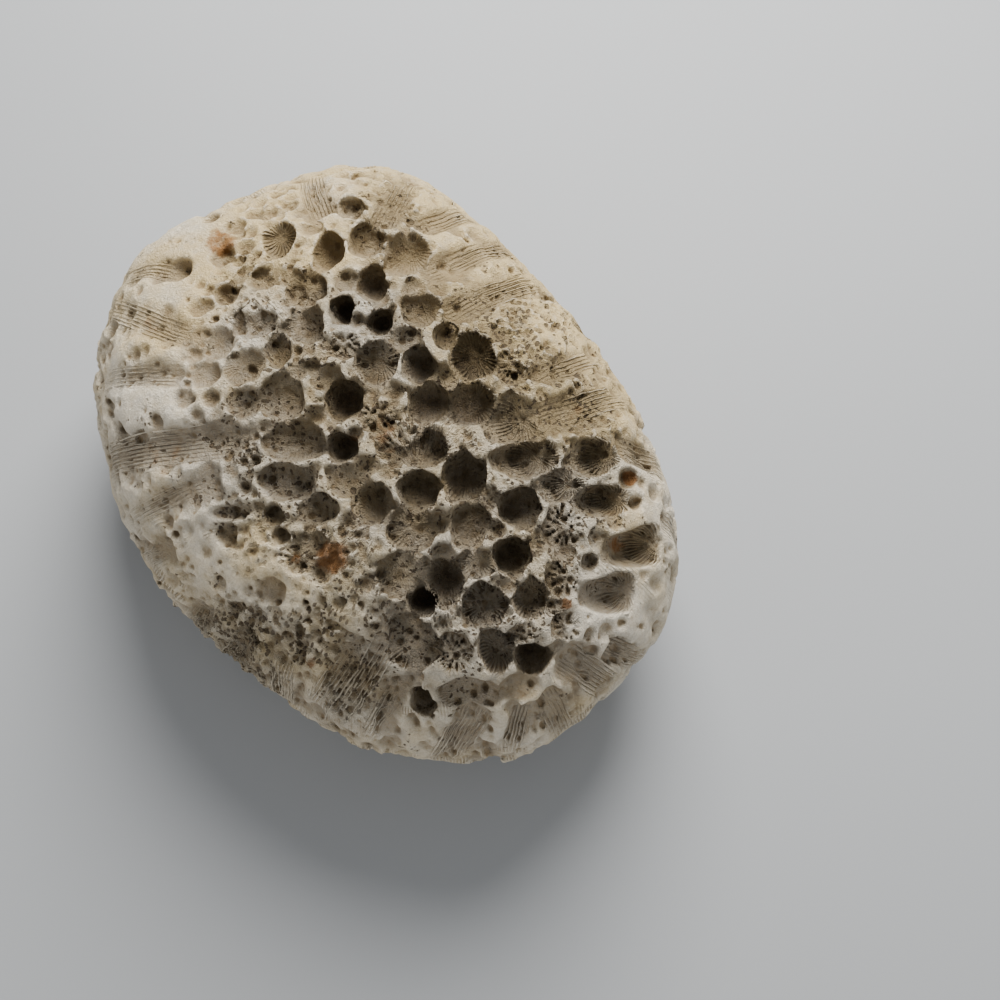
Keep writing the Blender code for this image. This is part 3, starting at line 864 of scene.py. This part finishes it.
def evaluated_mesh(thing, name):
    """The object's mesh with its modifiers worked in."""
    graph = bpy.context.evaluated_depsgraph_get()
    mesh = bpy.data.meshes.new_from_object(thing.evaluated_get(graph))
    mesh.name = name
    return mesh


# Points this share of a grid step above the floor lie on the flat base.
BASE_SHARE = 0.6

# How far round a point the stone is weighed, to find its nooks and its sheltered places.
NOOK_REACH = 0.3
SHELTER_REACH = 1.0


def thinned(points, quads):
    """The carved surface with fewer triangles, and most of them where it is seen from above."""
    fine = new_object("coral_fine", mesh_of("coral_fine", points, quads))
    group = fine.vertex_groups.new(name="hidden")
    facing = normal_at(points) @ -FORWARD
    hidden = 1 - 0.5 * eased(-0.1, 0.3, facing) * eased(2.0, 8.0, points[:, 2])
    for weight in np.unique(hidden.round(1)):
        group.add(np.nonzero(hidden.round(1) == weight)[0].tolist(), float(weight), "REPLACE")
    thin = fine.modifiers.new("thin", "DECIMATE")
    thin.ratio = min(1.0, MOST_TRIANGLES / (2 * len(quads)))
    thin.vertex_group = "hidden"
    thin.vertex_group_factor = 0.002
    thin.use_collapse_triangulate = True
    mesh = evaluated_mesh(fine, "coral_head_surface")
    bpy.data.objects.remove(fine)
    return mesh


def sculpt(hollows):
    """The stone's visible mesh in metres, its field on the grid, and how enclosed each place is."""
    axes = grid_axes()
    heights = grid_heights(axes)
    solid = heights.copy()
    press_dimples(solid, heights, axes, hollows)
    for hollow in hollows:
        carve(solid, heights, axes, hollow)
    roughen(solid, axes)
    bore_pores(solid, heights, axes)
    solid = np.maximum(solid, -axes[2].astype(np.float32)[None, None, :])
    points, quads = largest_part(*surface_net(solid, GRID_LOW, GRID_STEP))
    points[:, 2] = np.where(points[:, 2] < BASE_SHARE * GRID_STEP, 0, points[:, 2])
    mesh = thinned(points, quads)
    places = np.empty(3 * len(mesh.vertices), np.float32)
    mesh.vertices.foreach_get("co", places)
    places[2::3] = np.maximum(places[2::3], 0)
    mesh.vertices.foreach_set("co", places * np.float32(MM))
    mesh.update()
    mesh.validate()
    filled = np.clip(0.5 - solid / GRID_STEP, 0, 1)
    nooks = blurred(filled, round(NOOK_REACH / GRID_STEP))
    shelter = blurred(filled, round(SHELTER_REACH / GRID_STEP))
    return mesh, solid, (nooks, shelter)


# Marks that the material reads from the stone's own points

# Stains, as (across, up, reach, strength) in the view.
STAINS = (
    (-16.6, 22.4, 2.2, 0.75), (-5.3, -9.0, 2.4, 0.95), (24.4, -1.1, 1.1, 1.0), (22.9, -7.8, 1.4, 0.7),
    (-7.5, -19.6, 0.9, 0.6), (-9.0, -9.2, 0.9, 0.6), (-23.6, 14.2, 1.5, 0.5), (18.0, -13.7, 0.9, 0.9),
    (-3.2, 3.3, 1.2, 0.5), (0.5, 3.0, 3.0, 0.35), (18.7, 5.6, 1.8, 0.4), (-22.0, 1.0, 3.0, 0.3),
)


# How yellow the stone is, as (across, up, reach, amount) in the view.
WARM_AREAS = (
    (0.0, 0.0, 14.0, 0.5), (14.0, 16.0, 12.0, 1.0), (20.0, 6.0, 6.0, 0.95), (2.0, 28.0, 9.0, 0.9),
    (-10.0, 24.0, 9.0, 0.85), (-22.0, 17.0, 8.0, 0.7), (-25.0, 2.0, 8.0, 0.25), (-22.0, -5.0, 6.0, 0.3),
    (-12.0, -8.0, 5.0, 0.6), (-8.0, -16.0, 8.0, 0.45), (22.0, -16.0, 6.0, 0.1), (10.0, -24.0, 7.0, 0.25),
    (24.0, -7.0, 4.0, 0.5), (-10.0, 8.0, 6.0, 0.55),
)


# The number of ribs round a tube and the warmth of the stone, where nothing else is said.
USUAL_RIBS = 24.0
USUAL_WARMTH = 0.35


def tube_marks(points, heights, hollows):
    """Where each point lies round its tube, how ribbed it is, and the ribs that the tube has."""
    around = np.zeros((len(points), 3))
    ribs = np.full(len(points), USUAL_RIBS)
    for hollow in hollows:
        low, high = hollow.box()
        inside = np.nonzero(np.all((points > low) & (points < high), axis=1))[0]
        gap = hollow.hollow(points[inside], heights[inside])
        inside = inside[gap < 0.4]
        gap = gap[gap < 0.4]
        cosine, sine, ribbed = hollow.marks(points[inside], heights[inside])
        ribbed = ribbed * eased(0.4, 0.15, gap)
        stronger = ribbed >= around[inside, 2]
        chosen = inside[stronger]
        around[chosen] = np.stack([cosine, sine, ribbed], -1)[stronger]
        ribs[chosen] = hollow.count
    return around, ribs


def mark_points(mesh, hollows, nooks, shelter):
    """Gives a mesh the values that its material reads at each point."""
    count = len(mesh.vertices)
    points = np.empty(count * 3, np.float32)
    mesh.vertices.foreach_get("co", points)
    points = points.reshape(-1, 3).astype(np.float64) / MM
    heights = height_at(points)
    around, ribs = tube_marks(points, heights, hollows)
    across, up = view_place(points)
    stain = np.zeros(count)
    for x, y, reach, strength in STAINS:
        stain = np.maximum(stain, strength * eased(1.0, 0.3, np.hypot(across - x, up - y) / reach))
    stain *= eased(8.0, 12.0, points[:, 2]) * eased(0.0, 0.25, normal_at(points) @ -FORWARD)
    warmth = np.full(count, USUAL_WARMTH)
    for x, y, reach, amount in WARM_AREAS:
        share = eased(1.3, 0.3, np.hypot(across - x, up - y) / reach)
        warmth += (amount - warmth) * share
    spongy = sponginess(points)
    distance = np.linalg.norm(points - CROWN_POINT, axis=1)
    pored = np.maximum(eased(24, 15, distance), spongy)
    lined = eased(16, 22, distance) * eased(0.7, 0.4, warmth)
    lined *= eased(-0.2, 0.4, lattice_noise(points, 6.0, 15)) * eased(1.0, 0.3, -heights)
    for x, y, reach in SMOOTH_AREAS:
        rough = eased(0.8, 1.2, np.hypot(across - x, up - y) / reach)
        lined *= rough
        pored *= rough
    values = {
        "tube": around,
        "lined": lined,
        "rib_count": ribs,
        "sunk": np.clip(-heights, 0, 8),
        "stain": stain,
        "warmth": warmth,
        "spongy": spongy,
        "pored": pored,
        "nook": 2 * sampled(nooks, points) - 1,
        "shelter": 2 * sampled(shelter, points) - 1,
    }
    for name, numbers in values.items():
        kind, key = ("FLOAT_VECTOR", "vector") if numbers.ndim == 2 else ("FLOAT", "value")
        layer = mesh.attributes.new(name, kind, "POINT")
        layer.data.foreach_set(key, numbers.astype(np.float32).ravel())


# Materials

class Shade:
    """A socket in a material's tree. Sums and products of it add Math nodes."""

    def __init__(self, recipe, socket):
        self.recipe = recipe
        self.socket = socket

    def math(self, operation, *values):
        made = self.recipe.node("ShaderNodeMath", {"operation": operation})
        for socket, value in zip(made.inputs, values):
            self.recipe.feed(socket, value)
        return Shade(self.recipe, made.outputs[0])

    def __add__(self, other):
        return self.math("ADD", self, other)

    __radd__ = __add__

    def __sub__(self, other):
        return self.math("SUBTRACT", self, other)

    def __rsub__(self, other):
        return self.math("SUBTRACT", other, self)

    def __mul__(self, other):
        return self.math("MULTIPLY", self, other)

    __rmul__ = __mul__

    def eased(self, low, high):
        """0 at low, 1 at high and smooth between."""
        made = self.recipe.node("ShaderNodeMapRange", {"interpolation_type": "SMOOTHSTEP"})
        self.recipe.feed(made.inputs["Value"], self)
        made.inputs["From Min"].default_value = low
        made.inputs["From Max"].default_value = high
        return Shade(self.recipe, made.outputs["Result"])


class Recipe:
    """The node tree of one material."""

    def __init__(self, name):
        self.material = bpy.data.materials.new(name)
        self.material.use_nodes = True
        self.tree = self.material.node_tree
        self.tree.nodes.clear()

    def feed(self, socket, value):
        if isinstance(value, Shade):
            self.tree.links.new(value.socket, socket)
        else:
            socket.default_value = value

    def node(self, kind, settings=None, inputs=None):
        """A node of a kind, with its settings made first, then its sockets by identifier or name."""
        made = self.tree.nodes.new(kind)
        for name, value in (settings or {}).items():
            setattr(made, name, value)
        for name, value in (inputs or {}).items():
            found = [s for place, s in enumerate(made.inputs) if name in (place, s.identifier, s.name)]
            self.feed(found[0], value)
        return made

    def attribute(self, name, output="Fac"):
        made = self.node("ShaderNodeAttribute", {"attribute_name": name})
        return Shade(self, made.outputs[output])

    def place(self):
        return Shade(self, self.node("ShaderNodeTexCoord").outputs["Object"])

    def noise(self, scale, detail=3.0, roughness=0.6):
        inputs = {"Vector": self.place(), "Scale": scale, "Detail": detail, "Roughness": roughness}
        return Shade(self, self.node("ShaderNodeTexNoise", None, inputs).outputs[0])

    def cells(self, scale, where, randomness=1.0):
        """The distance to the nearest of many scattered middles."""
        inputs = {"Vector": where, "Scale": scale, "Randomness": randomness}
        return Shade(self, self.node("ShaderNodeTexVoronoi", None, inputs).outputs["Distance"])

    def mix(self, share, first, second):
        """From the first colour to the second as share goes from 0 to 1."""
        settings = {"data_type": "RGBA", "blend_type": "MIX", "clamp_factor": True}
        inputs = {"Factor_Float": share, "A_Color": first, "B_Color": second}
        made = self.node("ShaderNodeMix", settings, inputs)
        return Shade(self, next(out for out in made.outputs if out.identifier == "Result_Color"))

    def fan_place(self):
        """Coordinates that run round the crown and out from it, and the angle round it."""
        middle = tuple(CROWN_POINT * MM)
        apart = self.node("ShaderNodeVectorMath", {"operation": "SUBTRACT"}, {0: self.place(), 1: middle})
        offset = Shade(self, apart.outputs[0])
        length = self.node("ShaderNodeVectorMath", {"operation": "LENGTH"}, {0: offset})
        distance = Shade(self, length.outputs["Value"])
        x, y, _ = self.parts(offset)
        angle = y.math("ARCTAN2", y, x)
        inputs = {"X": angle * (27 * MM), "Y": distance * 0.95}
        return Shade(self, self.node("ShaderNodeCombineXYZ", None, inputs).outputs[0]), angle

    def warped(self, vector, scale, amount):
        """A vector pushed about by noise."""
        made = self.node("ShaderNodeTexNoise", None, {"Vector": vector, "Scale": scale, "Detail": 2.0})
        push = self.node("ShaderNodeVectorMath", {"operation": "MULTIPLY_ADD"}, {
            0: Shade(self, made.outputs["Color"]), 1: (amount,) * 3, 2: vector,
        })
        return Shade(self, push.outputs[0])

    def parts(self, vector):
        made = self.node("ShaderNodeSeparateXYZ", None, {"Vector": vector})
        return [Shade(self, out) for out in made.outputs]

    def bump(self, height, distance, strength=1.0):
        inputs = {"Height": height, "Distance": distance, "Strength": strength}
        return Shade(self, self.node("ShaderNodeBump", None, inputs).outputs["Normal"])

    def finish(self, colour, roughness, normal, specular):
        inputs = {"Base Color": colour, "Roughness": roughness, "Normal": normal}
        inputs["Specular IOR Level"] = specular
        surface = self.node("ShaderNodeBsdfPrincipled", None, inputs)
        out = self.node("ShaderNodeOutputMaterial")
        self.tree.links.new(surface.outputs[0], out.inputs["Surface"])
        return self.material


CHALK = (0.75, 0.68, 0.55, 1)
CREAM = (0.66, 0.51, 0.265, 1)
# A painted highlight, for crests and rims.
CREST_HIGHLIGHT = (0.80, 0.715, 0.565, 1)
TAN = (0.36, 0.25, 0.12, 1)
GREY = (0.36, 0.335, 0.29, 1)
# Painted shade: the first for pits, sheltered places and the gaps between ribs, the second for the deepest
# pits and the pores.
PIT_SHADE = (0.165, 0.12, 0.071, 1)
DEEP_SHADE = (0.1, 0.074, 0.048, 1)
RUST = (0.23, 0.095, 0.023, 1)

# Features of each pattern to the metre, and lines to the radian round the crown.
PATCHES, WEAR, MOTTLE, CRUMBS, FINE_CRUMBS, GRAIN = 150, 430, 800, 1300, 2900, 4200
PINHOLES, PORES, LATTICE, CRUMBLING = 1800, 1100, 1150, 1500
WAVERING, RIB_BREAKS, FAN_LINES = 260, 330, 440
RELIEF = 0.00036
STONE_ROUGHNESS, STONE_SHINE = 0.92, 0.2


def stone_colour_and_painted_light(recipe, patches, mottle, sunk):
    """Chalk to cream and mottled, with painted highlights on its crests and painted shade in its hollows.
    """
    nook = recipe.attribute("nook")
    shelter = recipe.attribute("shelter")
    warm = (recipe.attribute("warmth") + (patches - 0.5) * 1.2 + (mottle - 0.5) * 0.4).eased(0.1, 0.9)
    colour = recipe.mix(warm, CHALK, CREAM)
    colour = recipe.mix((mottle * 0.6 + patches * 0.4 - 0.5).eased(0.0, 0.2) * 0.3, colour, TAN)
    colour = recipe.mix((0.5 - mottle).eased(0.03, 0.2) * 0.3, colour, GREY)
    # Painted shade: tan where the stone closes in round a point, in nooks and hollows.
    hollow = (nook + (mottle - 0.5) * 0.5).eased(0.0, 0.4)
    colour = recipe.mix(hollow * 0.75, colour, TAN)
    # Painted shade: darker the deeper a point lies below the worn surface.
    colour = recipe.mix((sunk + (mottle - 0.5) * 0.7).eased(0.3, 1.0) * 0.6, colour, PIT_SHADE)
    # Painted shade in sheltered places, like ambient occlusion.
    colour = recipe.mix((shelter + (mottle - 0.5) * 0.4).eased(0.3, 0.9) * 0.7, colour, PIT_SHADE)
    # Painted shade, darkest in the deepest pits.
    colour = recipe.mix((sunk + (mottle - 0.5) * 3).eased(2.5, 6.0), colour, DEEP_SHADE)
    # Painted highlight: pale on the crests and rims, away from nooks and pits.
    crest_highlight = ((mottle - 0.5) * 0.5 - nook).eased(0.1, 0.5) * (1 - sunk.eased(0.4, 1.4))
    return recipe.mix(crest_highlight * 0.6, colour, CREST_HIGHLIGHT)


def stone_pores(recipe, mottle, worn, pored, sunk, fan):
    """Pinholes and pores, and a lattice of them in spongy places: 1 in a pore, 0 outside it."""
    crumbled = recipe.warped(recipe.place(), CRUMBLING, 0.0008)
    pinholes = (0.34 - recipe.cells(PINHOLES, crumbled)).eased(0.0, 0.1)
    pinholes = pinholes * (worn + pored * 0.17).eased(0.6, 0.68)
    girth = (worn + pored * 0.2 + (mottle - 0.5) * 0.6 - 0.5) * 1.1
    girth = girth.math("MINIMUM", girth, 0.34)
    pores = (girth - recipe.cells(PORES, crumbled)).eased(0.0, 0.07)
    lattice = recipe.cells(LATTICE, recipe.warped(fan, CRUMBLING, 0.0003), randomness=0.75)
    lattice = (0.35 - lattice).eased(0.0, 0.1) * recipe.attribute("spongy")
    pores = pinholes.math("MAXIMUM", pinholes, pores.math("MAXIMUM", pores, lattice))
    return pores * (1 - sunk.eased(2.5, 4.5) * 0.7)


def rib_lines(recipe, worn, round_fan):
    """The fine lines between the ribs, round the tubes and down the flanks."""
    cosine, sine, ribbed = recipe.parts(recipe.attribute("tube", "Vector"))
    angle = cosine.math("ARCTAN2", sine, cosine)
    waver = (recipe.noise(WAVERING, 2, 0.5) - 0.5) * 1.6
    wave = angle.math("COSINE", angle * recipe.attribute("rib_count") + waver) * 0.5 + 0.5
    fan_wave = round_fan.math("COSINE", round_fan * FAN_LINES + waver * 2) * 0.5 + 0.5
    lines = (1 - wave).eased(0.3, 0.95) * ribbed * recipe.noise(RIB_BREAKS, 3, 0.6).eased(0.35, 0.6)
    lined = recipe.attribute("lined") * (1 - ribbed) * worn.eased(0.48, 0.6)
    return lines + (1 - fan_wave).eased(0.3, 0.95) * lined


def stone_finish(name, ribs=True):
    """Chalky worn stone, with pores, the marks of its ribs, rust in spots, and painted shade and
    highlights.
    """
    recipe = Recipe(name)
    sunk = recipe.attribute("sunk")
    pored = recipe.attribute("pored")
    patches = recipe.noise(PATCHES, 4, 0.6)
    mottle = recipe.noise(MOTTLE, 4, 0.65)
    grain = recipe.noise(GRAIN, 3, 0.7)
    worn = recipe.noise(WEAR, 3, 0.6)
    fan, round_fan = recipe.fan_place()
    colour = stone_colour_and_painted_light(recipe, patches, mottle, sunk)
    pores = stone_pores(recipe, mottle, worn, pored, sunk, fan)
    # Painted shade: the pores are painted dark, as the shade inside them.
    colour = recipe.mix(pores * 0.9, colour, DEEP_SHADE)
    uneven = recipe.noise(CRUMBS, 5, 0.7) - 0.5
    crumb = uneven.math("ABSOLUTE", uneven)
    finer = recipe.noise(FINE_CRUMBS, 3, 0.6) - 0.5
    # Painted shade: tan in the creases of the crumbled relief.
    colour = recipe.mix((0.035 - crumb).eased(0.0, 0.03) * 0.3, colour, TAN)
    relief = grain * 0.15 + mottle * 1.2 + crumb.math("MINIMUM", crumb, 0.16) * 6
    relief = relief * (0.45 + pored * 0.65) + finer.math("ABSOLUTE", finer) * pored * 2.2 - pores * 1.7
    if ribs:
        lines = rib_lines(recipe, worn, round_fan)
        # Painted shade between the ribs: tan, and darker deeper in the groove.
        colour = recipe.mix(lines * 0.62, colour, recipe.mix(sunk.eased(0.5, 1.6), TAN, PIT_SHADE))
        relief = relief - lines * 1.5
    stain = (recipe.attribute("stain") + (mottle - 0.5) * 1.3 + (patches - 0.5)).eased(0.25, 0.8)
    colour = recipe.mix(stain * 0.85, colour, RUST)
    return recipe.finish(colour, STONE_ROUGHNESS, recipe.bump(relief, RELIEF), STONE_SHINE)


# Ribs inside the tubes

# Grooves shallower than this are left without ribs of their own.
LEAST_RIBBED_DEPTH = 0.4

# How thick a rib is in a calice, as (least, the rest where it is strong), and at most in a groove, how
# far it lies under the groove's smooth floor, and how rough it is along its length.
CALICE_RIB = (0.05, 0.04)
GROOVE_RIB = 0.085
GROOVE_RIB_DEPTH = 0.14
RIB_ROUGHNESS = 0.015

# How far a rib's line may be moved at each step to lie on the stone, and how far above it it lies.
RIB_MOVE = 0.2
RIB_RISE = 0.03

# How far under the worn surface ribs begin.
RIB_START = 0.2

# How much of a half wave is left off each end of a rib, which thins towards its ends.
RIB_END = 0.35


def calice_rib_lines(calice, chance):
    """Down the wall of a calice and a little way over its floor."""
    for rib in range(calice.count):
        if chance.random() > 0.1 + 0.75 * calice.ribbed:
            continue
        angle = 2 * math.pi * rib / calice.count
        first, last = chance.uniform(0.35, 0.5), chance.uniform(0.7, 0.85)
        line = []
        for along in np.linspace(first, last, 5) * calice.depth:
            line.append(calice.point(calice.edge(angle, along) * 0.99, angle, along))
        if calice.kind == "cup":
            for spread in (0.75, 0.55, chance.uniform(0.2, 0.45)):
                line.append(calice.point(spread, angle, float(calice.floor(np.float64(spread), angle))))
        yield np.array(line), CALICE_RIB[0] + CALICE_RIB[1] * calice.ribbed


def groove_rib_lines(groove, chance):
    """Along the floor of a groove, side by side."""
    most = int(0.85 * groove.half_width / RIB_PITCH)
    for rib in range(-most, most + 1):
        aside = rib * RIB_PITCH
        first, last = chance.uniform(0.05, 0.3), chance.uniform(0.6, 0.95)
        along = np.linspace(first, last, 13) * groove.along[-1]
        radius, middle = groove.section(along)
        heights = middle - np.sqrt(np.maximum(radius**2 - aside**2, 0))
        path = np.stack([np.interp(along, groove.along, groove.path[:, k]) for k in range(3)], -1)
        across = unit(np.stack([np.interp(along, groove.along, groove.across[:, k]) for k in range(3)], -1))
        points = path + across * (aside + groove.wander(along))[:, None]
        normals = normal_at(points)
        points = points + normals * (heights - GROOVE_RIB_DEPTH - height_at(points))[:, None]
        yield points, GROOVE_RIB * (0.5 + 0.5 * groove.ribbed)


def runs_on_stone(line, solid):
    """The stretches of a line that can be laid on the carved stone, well below its worn surface."""
    moves = RIB_MOVE * np.eye(3)
    for _ in range(3):
        slope = np.stack([sampled(solid, line + move) - sampled(solid, line - move) for move in moves], -1)
        slope = slope / np.maximum(np.linalg.norm(slope, axis=1, keepdims=True), 1e-6)
        line = line - slope * np.clip(sampled(solid, line) - RIB_RISE, -RIB_MOVE, RIB_MOVE)[:, None]
    laid = (np.abs(sampled(solid, line)) < 0.1) & (height_at(line) < -RIB_START)
    runs = np.split(np.arange(len(line)), np.nonzero(np.diff(laid))[0] + 1)
    return [line[run] for run in runs if laid[run[0]] and len(run) > 2]


def rib_guides(hollows, solid):
    """Every rib as a run of edges, with its thickness at each point."""
    chance = np.random.default_rng(RIB_SEED)
    points, edges, sizes = [], [], []
    for hollow in hollows:
        faint = hollow.kind == "groove" and max(hollow.depths) < LEAST_RIBBED_DEPTH
        if faint or hollow.kind not in ("groove", "cup", "deep"):
            continue
        lines = groove_rib_lines if hollow.kind == "groove" else calice_rib_lines
        for whole, size in lines(hollow, chance):
            for line in runs_on_stone(whole, solid):
                first = len(points)
                fade = np.sin(np.linspace(RIB_END, math.pi - RIB_END, len(line)))
                points += list(line + chance.normal(0, RIB_ROUGHNESS, line.shape))
                sizes += list(size * fade * chance.uniform(0.7, 1.15))
                edges += [(first + k, first + k + 1) for k in range(len(line) - 1)]
    mesh = bpy.data.meshes.new("rib_guides")
    mesh.from_pydata([tuple(point * MM) for point in points], edges, [])
    layer = mesh.attributes.new("rib_size", "FLOAT", "POINT")
    layer.data.foreach_set("value", np.array(sizes, np.float32) * MM)
    return new_object("rib_guides", mesh)


RIB_NODES = (
    ("start", "NodeGroupInput"), ("curves", "GeometryNodeMeshToCurve"),
    ("size", "GeometryNodeInputNamedAttribute"), ("scaled", "ShaderNodeMath"),
    ("thick", "GeometryNodeSetCurveRadius"), ("section", "GeometryNodeCurvePrimitiveCircle"),
    ("sweep", "GeometryNodeCurveToMesh"), ("real", "GeometryNodeRealizeInstances"),
    ("finish", "GeometryNodeSetMaterial"), ("end", "NodeGroupOutput"),
)
SECTION_SIDES = 4


def rib_tree(material):
    """Sweeps a small round section along every run of edges, as thick as its points say."""
    tree = bpy.data.node_groups.new("ribs_along_edges", "GeometryNodeTree")
    tree.interface.new_socket("Geometry", in_out="INPUT", socket_type="NodeSocketGeometry")
    sides = tree.interface.new_socket("Section Sides", in_out="INPUT", socket_type="NodeSocketInt")
    girth = tree.interface.new_socket("Girth", in_out="INPUT", socket_type="NodeSocketFloat")
    sides.default_value, girth.default_value = SECTION_SIDES, 1.0
    tree.interface.new_socket("Geometry", in_out="OUTPUT", socket_type="NodeSocketGeometry")
    made = {name: tree.nodes.new(kind) for name, kind in RIB_NODES}
    made["size"].data_type = "FLOAT"
    made["size"].inputs["Name"].default_value = "rib_size"
    made["scaled"].operation = "MULTIPLY"
    made["section"].mode = "RADIUS"
    made["section"].inputs["Radius"].default_value = 1.0
    made["sweep"].inputs["Fill Caps"].default_value = True
    made["finish"].inputs["Material"].default_value = material
    links = [
        (made["start"].outputs["Geometry"], made["curves"].inputs["Mesh"]),
        (made["size"].outputs["Attribute"], made["scaled"].inputs[0]),
        (made["start"].outputs["Girth"], made["scaled"].inputs[1]),
        (made["curves"].outputs["Curve"], made["thick"].inputs["Curve"]),
        (made["scaled"].outputs[0], made["thick"].inputs["Radius"]),
        (made["start"].outputs["Section Sides"], made["section"].inputs["Resolution"]),
        (made["thick"].outputs["Curve"], made["sweep"].inputs["Curve"]),
        (made["section"].outputs["Curve"], made["sweep"].inputs["Profile Curve"]),
        (made["sweep"].outputs["Mesh"], made["real"].inputs["Geometry"]),
        (made["real"].outputs["Geometry"], made["finish"].inputs["Geometry"]),
        (made["finish"].outputs["Geometry"], made["end"].inputs["Geometry"]),
    ]
    if "Scale" in made["sweep"].inputs:
        radius = tree.nodes.new("GeometryNodeInputRadius")
        links.append((radius.outputs[0], made["sweep"].inputs["Scale"]))
    for out, into in links:
        tree.links.new(out, into)
    return tree, {"sides": sides.identifier, "girth": girth.identifier}


def grow_ribs(hollows, solid, material):
    """The mesh of all the ribs."""
    guides = rib_guides(hollows, solid)
    sweep = guides.modifiers.new("ribs", "NODES")
    tree, sockets = rib_tree(material)
    sweep.node_group = tree
    sweep[sockets["sides"]] = SECTION_SIDES
    sweep[sockets["girth"]] = 1.0
    mesh = evaluated_mesh(guides, "septa_surface")
    guides.modifiers.remove(sweep)
    bpy.data.objects.remove(guides)
    return mesh


# The stone and its ribs

hollows = all_hollows()
stone_mesh, solid, shelters = sculpt(hollows)
mark_points(stone_mesh, hollows, *shelters)
stone_mesh.materials.append(stone_finish("chalky_stone_surface"))
stone_mesh.shade_smooth()
coral = new_object("coral_head_surface", stone_mesh)
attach(coral, "root")
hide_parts("coral_head")

rib_material = stone_finish("rib_surface", ribs=False)
rib_mesh = grow_ribs(hollows, solid, rib_material)
mark_points(rib_mesh, hollows, *shelters)
rib_mesh.shade_smooth()
septa = new_object("septa", rib_mesh)
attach(septa, "root")


# Floor, light and camera, in metres

FLOOR_GREY = (0.335, 0.345, 0.355, 1)
FLOOR_HALF = 5.0
FLOOR_DROP = 0.00005
FLOOR_ROUGHNESS, FLOOR_SHINE = 0.6, 0.3

# Lights, as (name, place, size, power, colour).
LIGHTS = (
    ("window", (0.035, 0.15, 0.185), 0.17, 6.0, (1.0, 0.985, 0.96)),
    ("fill", (0.3, -0.3, 0.12), 0.3, 2.5, (0.97, 0.985, 1.0)),
    ("low_fill", (-0.3, -0.2, 0.07), 0.2, 1.8, (1.0, 0.99, 0.97)),
)
SKY_COLOUR = (0.95, 0.97, 1.0, 1)
SKY_STRENGTH = 0.4


def floor_finish():
    recipe = Recipe("pale_floor")
    grain = recipe.bump(recipe.noise(60, 2), 0.0001, 0.1)
    return recipe.finish(FLOOR_GREY, FLOOR_ROUGHNESS, grain, FLOOR_SHINE)


def lay_floor():
    corners = FLOOR_HALF * np.array([(-1, -1, 0), (1, -1, 0), (1, 1, 0), (-1, 1, 0)])
    mesh = mesh_of("floor", corners - np.array((0, 0, FLOOR_DROP)), np.array([[0, 1, 2, 3]]))
    mesh.materials.append(floor_finish())
    floor = new_object("floor", mesh)


def add_light(name, place, size, power, colour):
    """A round soft light."""
    data = bpy.data.lights.new(name, "POINT")
    data.shadow_soft_size = size / 2
    data.energy = power
    data.color = colour
    light = new_object(name, data)
    light.location = place
    light.visible_camera = False


def add_camera():
    data = bpy.data.cameras.new("camera")
    data.sensor_width = 36
    data.lens = data.sensor_width * VIEW_DISTANCE / VIEW_WIDTH
    data.clip_start = 0.005
    camera = new_object("camera", data)
    camera.location = EYE * MM
    camera.rotation_euler = (math.pi / 2 - VIEW_ELEVATION, 0, 0)
    bpy.context.scene.camera = camera


def set_sky(colour, strength):
    world = bpy.data.worlds.new("soft_sky")
    world.use_nodes = True
    sky = world.node_tree.nodes["Background"]
    sky.inputs["Color"].default_value = colour
    sky.inputs["Strength"].default_value = strength
    bpy.context.scene.world = world


lay_floor()
for light in LIGHTS:
    add_light(*light)
set_sky(SKY_COLOUR, SKY_STRENGTH)
add_camera()
